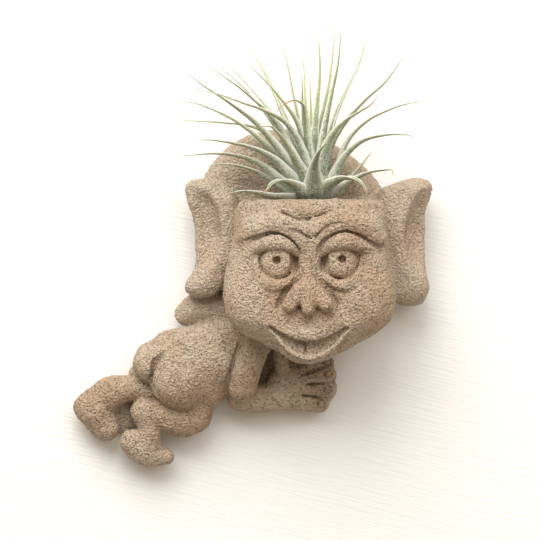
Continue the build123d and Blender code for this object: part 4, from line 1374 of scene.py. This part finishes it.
def leaf_skin():
    """The living leaf of a tillandsia: green under a felt of silver scales that is thickest at the base and
    along the margins, yellow green where it thins, and dried brown at some tips. Down the middle of each
    face the green is painted darker as the channel's shade."""
    plant = bpy.context.scene.holder_plant
    material, place = new_material("tillandsia_leaf")
    along, margin, young, dry = (
        attribute(place.tree, name) for name in ("along", "margin", "young", "dry")
    )
    # Painted shade: darker green down the middle of each face, for the channel's shade.
    body = mixed(ramp(margin, 0.15, 0.85), plant.channel_shade, plant.green)
    body = mixed(ramp(along, 0.30, 0.85) * young, body, plant.young)
    felt = pattern(place, FELT, 2.0)
    cover = FELT_BASE - along * FELT_THINS + maths("POWER", margin, FELT_MARGIN)
    cover = cover + (pattern(place, STREAK, 2.0) - 0.5) * STREAKED + (felt - 0.5) * SCALY
    body = mixed(ramp(cover, 0.15, 0.95), body, plant.scale)
    dried = ramp(along - (1.0 - dry * DRY_LENGTH), -0.05, 0.06)
    body = mixed(dried * dry, body, plant.dry)
    return finished(
        material, Base_Color=body, Normal=bump(felt, 0.08 * MM, 0.7), Roughness=0.75,
        Sheen_Weight=0.35, Subsurface_Weight=0.12, Subsurface_Scale=1.2 * MM,
    )


def stub_bark():
    """The dead woody base of the plant: brown, dry and ridged along its length."""
    plant = bpy.context.scene.holder_plant
    material, place = new_material("dry_tillandsia_stub")
    drawn_out = vectors("MULTIPLY", place, (1.0, 1.0, FIBRE_STRETCH))
    fibre = pattern(drawn_out, FIBRE, 3.0)
    body = mixed(ramp(fibre, 0.35, 0.7), plant.bark, plant.dry)
    return finished(material, Base_Color=body, Normal=bump(fibre, 0.4 * MM), Roughness=0.9)


ZINC, PASSIVATED = (0.34, 1.6), (0.3, 0.7)  # roughness, and how many millimetres the grain spans


def worn_metal(name, tint, roughness, grain):
    """Plated steel, dulled a little by handling: fine grain, uneven shine."""
    material, place = new_material(name)
    cloud = pattern(place, grain, 4.0)
    body = mixed(cloud, [part * 0.72 for part in tint], tint)
    shine = cloud * 0.2 + (roughness - 0.1)
    return finished(material, Base_Color=body, Roughness=shine, Metallic=1.0)


def moulded_nylon():
    """Moulded grey nylon: slightly waxy, with a faint mottled skin."""
    material, place = new_material("grey_nylon")
    tint = bpy.context.scene.holder_hanger.nylon
    body = mixed(pattern(place, 0.8, 2.0), [part * 0.85 for part in tint], tint)
    return finished(material, Base_Color=body, Roughness=0.5)


# The brush strokes: their width and depth in millimetres, their slant and how drawn out they are.
STROKE, STROKE_DEPTH, STROKE_TILT, STROKE_STRETCH = 16.0, 0.25, 0.24, 0.07
OWN_LIGHT = 1.2  # millimetres: light that comes from nearer is off the figure's own back


def wall_paint():
    """White emulsion. From behind it isn't there, and neither is it for light that comes off
    the figure's own back, so that the back can be looked at."""
    stage = bpy.context.scene.holder_stage
    material, place = new_material("white_emulsion")
    tree = place.tree
    along = add_node(
        tree, "ShaderNodeMapping", {"vector_type": "TEXTURE"}, Vector=place,
        Rotation=(0.0, STROKE_TILT, 0.0), Scale=(1.0, 1.0, STROKE_STRETCH),
    )
    strokes = bump(pattern(along, STROKE, 4.0), STROKE_DEPTH * MM)
    finished(material, Base_Color=(*stage.wall, 1), Roughness=0.9, Normal=strokes)
    behind = add_node(tree, "ShaderNodeNewGeometry", out="Backfacing")
    far = add_node(tree, "ShaderNodeLightPath", out="Ray Length")
    clear = maths("MAXIMUM", behind, maths("LESS_THAN", far, OWN_LIGHT * MM))
    shader = Wire(tree.nodes["Principled BSDF"].outputs[0])
    nothing = add_node(tree, "ShaderNodeBsdfTransparent")
    mix = add_node(tree, "ShaderNodeMixShader", i0=clear, i1=shader, i2=nothing)
    connect(tree.nodes["Material Output"].inputs[0], mix)
    return material


# The plant: each leaf's girth, how yellow and how dry its tip is, how far its tip reaches out,
# and its way from the heart to the tip, as shares of the plant's spread and height.
LEAVES = [
    (0.8, 0.5, 0, -0.1, [(0.011, 0.176), (0.013, 0.348), (0.021, 0.5), (0.033, 0.719), (0.027, 0.943)]),
    (0.75, 0.7, 0, -0.2, [(0.016, 0.176), (0.026, 0.329), (0.046, 0.481), (0.073, 0.681), (0.097, 0.995)]),
    (0.85, 0.3, 0.3, 0.12, [(0.026, 0.148), (0.04, 0.29), (0.056, 0.443), (0.087, 0.652), (0.105, 0.786),
        (0.117, 0.976)]),
    (0.8, 0.6, 0, -0.22, [(0.05, 0.176), (0.073, 0.348), (0.097, 0.481), (0.14, 0.624), (0.191, 0.776),
        (0.224, 0.943)]),
    (0.9, 0.4, 0.2, 0.2, [(0.05, 0.138), (0.077, 0.3), (0.137, 0.443), (0.217, 0.562), (0.305, 0.681),
        (0.368, 0.822)]),
    (1.1, 0.4, 0.8, 0.46, [(0.033, 0.081), (0.043, 0.195), (0.07, 0.329), (0.123, 0.424), (0.184, 0.481),
        (0.228, 0.519), (0.26, 0.573)]),
    (0.95, 0.4, 0, -0.06, [(0.09, 0.119), (0.117, 0.252), (0.157, 0.357), (0.231, 0.452), (0.325, 0.514),
        (0.399, 0.543), (0.452, 0.55)]),
    (1, 0.2, 0.5, 0.2, [(0.07, 0.071), (0.103, 0.176), (0.15, 0.271), (0.217, 0.333), (0.298, 0.359),
        (0.365, 0.357), (0.392, 0.351), (0.409, 0.333)]),
    (0.8, 0, 0.5, -0.14, [(0.123, 0.062), (0.17, 0.148), (0.207, 0.205), (0.24, 0.262)]),
    (0.95, 0, 0.3, 0.05, [(0.083, 0.024), (0.15, 0.095), (0.224, 0.143), (0.298, 0.159), (0.32, 0.155),
        (0.326, 0.121)]),
    (1.2, 0, 0.7, 0.42, [(0.033, 0.024), (0.07, 0.076), (0.123, 0.111), (0.164, 0.105), (0.197, 0.076),
        (0.212, 0.038), (0.217, 0.003)]),
    (1.35, 0, 0, 0.46, [(0.013, 0.024), (0.008, 0.1), (0.011, 0.186), (0.03, 0.262), (0.06, 0.312)]),
    (1.15, 0.3, 0.7, 0.46, [(-0.014, 0.033), (-0.041, 0.129), (-0.074, 0.224), (-0.108, 0.31),
        (-0.145, 0.376), (-0.172, 0.401), (-0.212, 0.397)]),
    (0.9, 0.6, 0.8, 0.28, [(-0.014, 0.176), (-0.038, 0.338), (-0.074, 0.462), (-0.138, 0.586),
        (-0.195, 0.676), (-0.249, 0.75)]),
    (0.9, 0.2, 1, 0.32, [(-0.004, 0.119), (-0.014, 0.252), (-0.026, 0.376), (-0.03, 0.471), (-0.038, 0.527),
        (-0.071, 0.552), (-0.108, 0.531), (-0.144, 0.49)]),
    (0.6, 0.3, 0.6, 0.2, [(-0.011, 0.176), (-0.03, 0.367), (-0.038, 0.5), (-0.04, 0.605), (-0.042, 0.714)]),
    (0.65, 0.7, 0, -0.28, [(-0.004, 0.214), (-0.017, 0.405), (-0.026, 0.557), (-0.031, 0.71),
        (-0.038, 0.843)]),
    (0.65, 0.6, 0, -0.38, [(0, 0.214), (-0.003, 0.367), (-0.004, 0.538), (-0.009, 0.705)]),
    (0.75, 0.6, 0, -0.16, [(-0.011, 0.195), (-0.038, 0.348), (-0.068, 0.529), (-0.091, 0.71),
        (-0.117, 0.886)]),
    (0.8, 0.7, 0, -0.08, [(-0.024, 0.157), (-0.071, 0.329), (-0.125, 0.5), (-0.172, 0.662), (-0.219, 0.786),
        (-0.259, 0.867)]),
    (0.75, 0.7, 0, -0.3, [(-0.031, 0.195), (-0.085, 0.386), (-0.138, 0.567), (-0.185, 0.719),
        (-0.229, 0.838)]),
    (0.75, 0.6, 0, -0.2, [(-0.038, 0.157), (-0.105, 0.357), (-0.179, 0.519), (-0.259, 0.652),
        (-0.346, 0.781)]),
    (0.75, 0.6, 0, 0.06, [(-0.044, 0.148), (-0.111, 0.329), (-0.179, 0.471), (-0.252, 0.6), (-0.313, 0.681),
        (-0.38, 0.757)]),
    (0.9, 0.2, 0.4, 0.24, [(-0.038, 0.119), (-0.091, 0.29), (-0.158, 0.452), (-0.246, 0.576),
        (-0.333, 0.671), (-0.407, 0.738)]),
    (1, 0.2, 0.3, 0.36, [(-0.051, 0.1), (-0.111, 0.224), (-0.179, 0.357), (-0.266, 0.471), (-0.366, 0.571),
        (-0.44, 0.643), (-0.497, 0.7)]),
    (0.9, 0.8, 0.2, 0.42, [(-0.017, 0.157), (-0.051, 0.31), (-0.105, 0.424), (-0.185, 0.49),
        (-0.279, 0.538), (-0.38, 0.586), (-0.484, 0.624)]),
    (0.9, 0.5, 0, 0.1, [(-0.051, 0.071), (-0.118, 0.205), (-0.212, 0.338), (-0.313, 0.443), (-0.434, 0.524),
        (-0.528, 0.554)]),
    (0.85, 0.5, 0, -0.24, [(-0.058, 0.09), (-0.125, 0.224), (-0.205, 0.338), (-0.286, 0.433),
        (-0.366, 0.495), (-0.43, 0.519)]),
    (0.85, 1, 0.3, -0.02, [(-0.058, 0.148), (-0.118, 0.281), (-0.179, 0.367), (-0.252, 0.414),
        (-0.353, 0.429), (-0.447, 0.438), (-0.544, 0.448)]),
    (1.1, 0.2, 0.3, 0.34, [(-0.038, 0.043), (-0.091, 0.129), (-0.158, 0.224), (-0.239, 0.281),
        (-0.333, 0.312), (-0.407, 0.325), (-0.455, 0.323)]),
    (1.05, 0.3, 0, 0.16, [(-0.064, 0.033), (-0.132, 0.11), (-0.199, 0.186), (-0.279, 0.233), (-0.373, 0.25),
        (-0.454, 0.245), (-0.519, 0.238)]),
    (0.9, 0.3, 0, -0.1, [(-0.078, 0.024), (-0.158, 0.095), (-0.226, 0.152), (-0.306, 0.186), (-0.373, 0.19),
        (-0.421, 0.176)]),
    (1.15, 0, 0.6, 0.34, [(-0.105, 0), (-0.172, 0.01), (-0.226, 0.028), (-0.286, 0.034), (-0.345, 0.012)]),
    (1.2, 0, 0.7, 0.44, [(-0.034, 0.019), (-0.071, 0.067), (-0.118, 0.095), (-0.158, 0.078),
        (-0.182, 0.038), (-0.204, 0.024)]),
]
PLANT_FOOT = np.array([HOLLOW_MIDDLE[0], HOLLOW_MIDDLE[1], RIM_HEIGHT])
PLANT_SPREAD, PLANT_HEIGHT, PLANT_REACH = 94.0, 65.6, 50.0
LEAF_STEPS = 9  # points between two places on a leaf's way
LEAF_START, REACH_GAIN, YOUNG_THIN = 0.6, 1.25, 0.25
FULL = [
    (0, 1.15, 1), (0.15, 1.32, 1), (0.4, 0.8, 0.8), (0.65, 0.4, 0.55), (0.82, 0.22, 0.4), (1, 0.04, 0.15),
]
FULL = np.array(FULL)  # along a leaf, its width and thickness
# The sheaths round the bulb: how many, the angle between them, their heights, and their profile.
SHEATHS, SHEATH_TURN, SHEATH_HEIGHT, SHEATH_GAIN = 11, 2.4, 0.75, 0.03
DRY_SHEATHS, DRY, FRESH = 3, 0.9, 0.1
SHEATH_ROWS = ((3.6, 0.2), (6.6, 2.6), (7.6, 6.0), (6.8, 9.5), (5.4, 13.0))
SHEATH_ALONG, SHEATH_WIDTH, SHEATH_CURVE, SHEATH_TIP, SHEATH_THIN = 0.35, 1.35, 1.45, 0.1, 0.6
# The bulb's core: its points, their heights, how it swells over them, and its girth.
CORE_POINTS, CORE_HEIGHTS, CORE_SWELL, CORE_TURNS = 12, (0.3, 11.0), 1.15, (0.9, 2.6)
CORE_ALONG, CORE_WIDTH, CORE_THICKNESS = 0.2, 2.0, 11.0
FACE_FRONT = 0.5  # turns a leaf that grows straight up to face the front
WOBBLE, LEAF_WAVES, STUB_WAVES = 0.5 * MM, 9 * MM, 3 * MM  # unevenness, and how long its waves are


def leaf_strand(girth, young, dry, out, way):
    """A leaf's way in space, with its width and thickness along it."""
    places = [(way[0][0] * LEAF_START, 0.0)] + way
    points = []
    for (across, up), far in zip(places, np.linspace(0, 1, len(places))):
        reach = -out * PLANT_REACH * min(1.0, far * REACH_GAIN)
        points.append(PLANT_FOOT + (across * PLANT_SPREAD, reach, up * PLANT_HEIGHT))
    path = curve_through(points, LEAF_STEPS)
    run = np.concatenate([[0], np.cumsum(np.linalg.norm(np.diff(path, axis=0), axis=1))])
    along = run / run[-1]
    wide = np.interp(along, FULL[:, 0], FULL[:, 1]) * girth * (1 - YOUNG_THIN * young)
    thick = np.interp(along, FULL[:, 0], FULL[:, 2])
    return path, along, wide, thick, young, dry


def sheath_strand(turn, height, dry):
    """A short broad sheath that wraps the bulb."""
    out = np.array([math.cos(turn), math.sin(turn), 0])
    rows = [PLANT_FOOT + out * r + (0, 0, z * height) for r, z in SHEATH_ROWS]
    path = curve_through(rows, LEAF_STEPS)
    along = np.linspace(0, 1, len(path))
    wide = SHEATH_WIDTH * np.cos(along * SHEATH_CURVE) + SHEATH_TIP
    return path, along * SHEATH_ALONG, wide, 1 - SHEATH_THIN * along, 0.0, dry


def core_strand():
    """The bulb's core, which swells in its middle."""
    path = np.array([PLANT_FOOT + (0, 0, z) for z in np.linspace(*CORE_HEIGHTS, CORE_POINTS)])
    swell = CORE_SWELL * np.sin(np.linspace(*CORE_TURNS, CORE_POINTS))
    along = np.linspace(0, CORE_ALONG, CORE_POINTS)
    return path, along, swell * CORE_WIDTH, swell * CORE_THICKNESS, 0.0, 0.0


def sweep(piece, width, thickness, channel, waves, material):
    """Sweeps the section along a piece's strands."""
    plant = bpy.context.scene.holder_plant
    values = {
        "Width": width, "Thickness": thickness, "Channel": channel, "Wobble": WOBBLE,
        "Wobble Size": waves, "Points Along": plant.points_along,
        "Points Around": plant.points_around, "Material": material,
    }
    dress(piece, sweep_tree(values), values)


def strand_mesh(name, strands, axis):
    """One mesh of plain lines, with what each sweep needs stored along them."""
    points, edges, rows = [], [], []
    for path, along, wide, thick, young, dry in strands:
        first = len(points)
        edges += [(first + i, first + i + 1) for i in range(len(path) - 1)]
        out = path[-1] - axis
        side = np.cross((0, 0, 1), (out[0], out[1] - FACE_FRONT, 0))
        side /= np.linalg.norm(side)
        points += list(path * MM)
        rows += [(a, w, t, young, dry, *side) for a, w, t in zip(along, wide, thick)]
    piece = new_piece(name, points, edges, [])
    rows = np.array(rows)
    store = piece.data.attributes.new
    for column, key in enumerate(("along", "wide", "thick", "young", "dry")):
        store(key, "FLOAT", "POINT").data.foreach_set("value", rows[:, column])
    store("side", "FLOAT_VECTOR", "POINT").data.foreach_set("vector", rows[:, 5:].ravel())
    return piece


class HOLDER_OT_leaves(bpy.types.Operator):
    """Grow the rosette of leaves and the sheaths that wrap its bulb"""

    bl_idname = "holder.leaves"
    bl_label = "Leaves"

    def execute(self, context):
        plant = context.scene.holder_plant
        strands = [leaf_strand(*row) for row in LEAVES]
        for i in range(SHEATHS):
            dry = DRY if i < DRY_SHEATHS else FRESH
            strands.append(sheath_strand(i * SHEATH_TURN, SHEATH_HEIGHT + SHEATH_GAIN * i, dry))
        piece = strand_mesh("rosette_leaves", strands + [core_strand()], PLANT_FOOT)
        size = plant.leaf_width, plant.leaf_thickness
        sweep(piece, *size, plant.channel, LEAF_WAVES, leaf_skin())
        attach(piece, "plant")
        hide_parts("leaf_rosette")
        return {"FINISHED"}


# The stub: its width at the rim and how much it narrows, how it bends and how knobbly it is.
STUB_POINTS, STUB_WIDTH, STUB_TAPER, STUB_END = 24, 8.4, 4.2, 0.6
STUB_BEND, STUB_BENDS, STUB_KNOBS, STUB_KNOB_TURNS = 0.35, 7, 0.5, 21
STUB_BEHIND = 5  # how far behind the stub its strands turn their backs to
# Each root's angle, where it leaves the stub as a share of its drop, and how much further it goes.
ROOTS = [(0.4, 0.16, 0.3), (1.5, 0.3, 0), (2.7, 0.22, 0.4), (3.9, 0.12, 0.2), (5.2, 0.26, 0.3)]
# A root's way: how far out of the stub's middle, and how much lower than where it leaves.
ROOT_ROWS = ((2.2, 0.0), (5.2, 0.10), (4.6, 0.26), (3.6, 0.44))
ROOT_STEPS, ROOT_WIDTH, ROOT_TAPER, ROOT_FLAT = 8, 0.75, 0.45, 0.75


class HOLDER_OT_stub(bpy.types.Operator):
    """Make the dry stub that stands in the hollow, with a few old roots"""

    bl_idname = "holder.stub"
    bl_label = "Dry stub"

    def execute(self, context):
        low, high = node_box("root_stub")
        drop = high[2] - low[2]
        steps = np.linspace(0, 1, STUB_POINTS)
        way = np.array([
            PLANT_FOOT - (STUB_BEND * math.sin(STUB_BENDS * t), 0, t * (drop - STUB_END))
            for t in steps
        ])
        wide = STUB_WIDTH - STUB_TAPER * steps + STUB_KNOBS * np.sin(steps * STUB_KNOB_TURNS)
        strands = [(way, steps, wide, wide, 0.0, 0.0)]
        for turn, start, reach in ROOTS:
            out = np.array([math.cos(turn), ROOT_FLAT * math.sin(turn), 0])
            rows = []
            for i, (away, lower) in enumerate(ROOT_ROWS):
                away += reach if i == 2 else 0.0
                rows.append(PLANT_FOOT + out * away - (0, 0, (start + lower) * drop))
            path = curve_through(rows, ROOT_STEPS)
            along = np.linspace(0, 1, len(path))
            wide = ROOT_WIDTH - ROOT_TAPER * along
            strands.append((path, along, wide, wide, 0.0, 0.0))
        piece = strand_mesh("dry_stub", strands, PLANT_FOOT + (0, STUB_BEHIND, 0))
        sweep(piece, MM, MM, 0.0, STUB_WAVES, stub_bark())
        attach(piece, "plant")
        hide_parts("root_stub")
        return {"FINISHED"}


class HOLDER_OT_hanger(bpy.types.Operator):
    """Finish the keyhole hanger, its screws and their plugs"""

    bl_idname = "holder.hanger"
    bl_label = "Hanger"

    def execute(self, context):
        finish = context.scene.holder_hanger
        for name, material in (
            ("keyhole_hanger", worn_metal("zinc_plated_steel", finish.steel, *ZINC)),
            ("hanger_screws", worn_metal("yellow_passivated_steel", finish.screw, *PASSIVATED)),
            ("screw_plugs", moulded_nylon()),
        ):
            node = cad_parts[name]
            node.data.materials.clear()
            node.data.materials.append(material)
        return {"FINISHED"}


PICTURE_MIDDLE = (-4.4, 0.0, -26.6)  # what the camera looks at, in millimetres
WALL_REACH, VIEW_REACH = 3.0, 20.0  # metres: the wall's half width, and how far the camera sees
# The lamps, in metres: where each stands from what the camera looks at, and its size.
LAMPS = {
    "key": ((-0.32, -0.82, 0.95), 1.1), "fill": ((0.45, -1.0, 0.55), 0.9),
    "back": ((0.5, 1.0, 0.6), 1.0),
}


class HOLDER_OT_stage(bpy.types.Operator):
    """Set the wall, the lamps and the camera"""

    bl_idname = "holder.stage"
    bl_label = "Stage"

    def execute(self, context):
        scene, stage = context.scene, context.scene.holder_stage
        scene.view_settings.view_transform = "Standard"
        middle = Vector(PICTURE_MIDDLE) * MM
        side, gap = WALL_REACH, stage.wall_gap
        corners = [(-side, gap, -side), (side, gap, -side), (side, gap, side), (-side, gap, side)]
        wall = new_piece("wall", corners, [], [(0, 1, 2, 3)])
        wall.data.materials.append(wall_paint())
        camera = bpy.data.objects.new("camera", bpy.data.cameras.new("camera"))
        scene.collection.objects.link(camera)
        camera.location = (middle.x, -stage.camera_distance, middle.z)
        camera.rotation_euler = (math.radians(90), 0, 0)
        camera.data.lens = camera.data.sensor_width * stage.camera_distance / stage.picture_width
        camera.data.clip_end = VIEW_REACH
        scene.camera = camera
        for name, (place, size) in LAMPS.items():
            lamp = bpy.data.objects.new(name, bpy.data.lights.new(name, "AREA"))
            scene.collection.objects.link(lamp)
            lamp.data.energy = getattr(stage, f"{name}_watts")
            lamp.data.size = size
            lamp.location = middle + Vector(place)
            lamp.rotation_mode = "QUATERNION"
            lamp.rotation_quaternion = (-Vector(place)).to_track_quat("-Z", "Y")
            lamp.visible_camera = False
        light_the_room(stage)
        return {"FINISHED"}


def light_the_room(stage):
    """Even light all round, with white where the camera sees past the wall."""
    world = bpy.data.worlds.new("room")
    bpy.context.scene.world = world
    world.use_nodes = True
    tree = world.node_tree
    camera, glossy, through = (
        add_node(tree, "ShaderNodeLightPath", out=f"Is {kind} Ray")
        for kind in ("Camera", "Glossy", "Transmission")
    )
    seen = maths("MAXIMUM", camera, maths("MAXIMUM", glossy, through))
    background = tree.nodes["Background"]
    connect(background.inputs["Strength"], seen * (1 - stage.sky) + stage.sky)
    connect(background.inputs["Color"], mixed(seen, stage.room, (1.0, 1.0, 1.0)))


class HOLDER_PT_panel(bpy.types.Panel):
    """Lists what makes the holder."""

    bl_idname = "HOLDER_PT_panel"
    bl_label = "Air plant holder"
    bl_space_type = "VIEW_3D"
    bl_region_type = "UI"
    bl_category = "Holder"

    def draw(self, context):
        for name in STEPS:
            self.layout.operator(f"holder.{name}")
        for group in SETTINGS:
            box = self.layout.box()
            for key in group.__annotations__:
                box.prop(getattr(context.scene, SETTINGS[group]), key)


SETTINGS = {
    HolderHead: "holder_head", HolderClay: "holder_clay", HolderPlant: "holder_plant",
    HolderHanger: "holder_hanger", HolderStage: "holder_stage",
}
OPERATORS = (
    HOLDER_OT_wedge, HOLDER_OT_head, HOLDER_OT_ears, HOLDER_OT_eyes, HOLDER_OT_forehead,
    HOLDER_OT_nose, HOLDER_OT_mouth, HOLDER_OT_trunk, HOLDER_OT_legs, HOLDER_OT_arms,
    HOLDER_OT_hand, HOLDER_OT_recess, HOLDER_OT_fire, HOLDER_OT_leaves, HOLDER_OT_stub,
    HOLDER_OT_hanger, HOLDER_OT_stage,
)
STEPS = [operator.bl_idname.partition(".")[2] for operator in OPERATORS]


def register():
    """Adds the settings, the operators and the panel."""
    for kind in (*SETTINGS, *OPERATORS, HOLDER_PT_panel):
        bpy.utils.register_class(kind)
    for group, name in SETTINGS.items():
        setattr(bpy.types.Scene, name, bpy.props.PointerProperty(type=group))


def unregister():
    """Takes them away again."""
    for name in SETTINGS.values():
        delattr(bpy.types.Scene, name)
    for kind in reversed((*SETTINGS, *OPERATORS, HOLDER_PT_panel)):
        bpy.utils.unregister_class(kind)


def main():
    """Makes every piece in order."""
    register()
    for name in STEPS:
        getattr(bpy.ops.holder, name)()


if __name__ == "__main__":
    main()
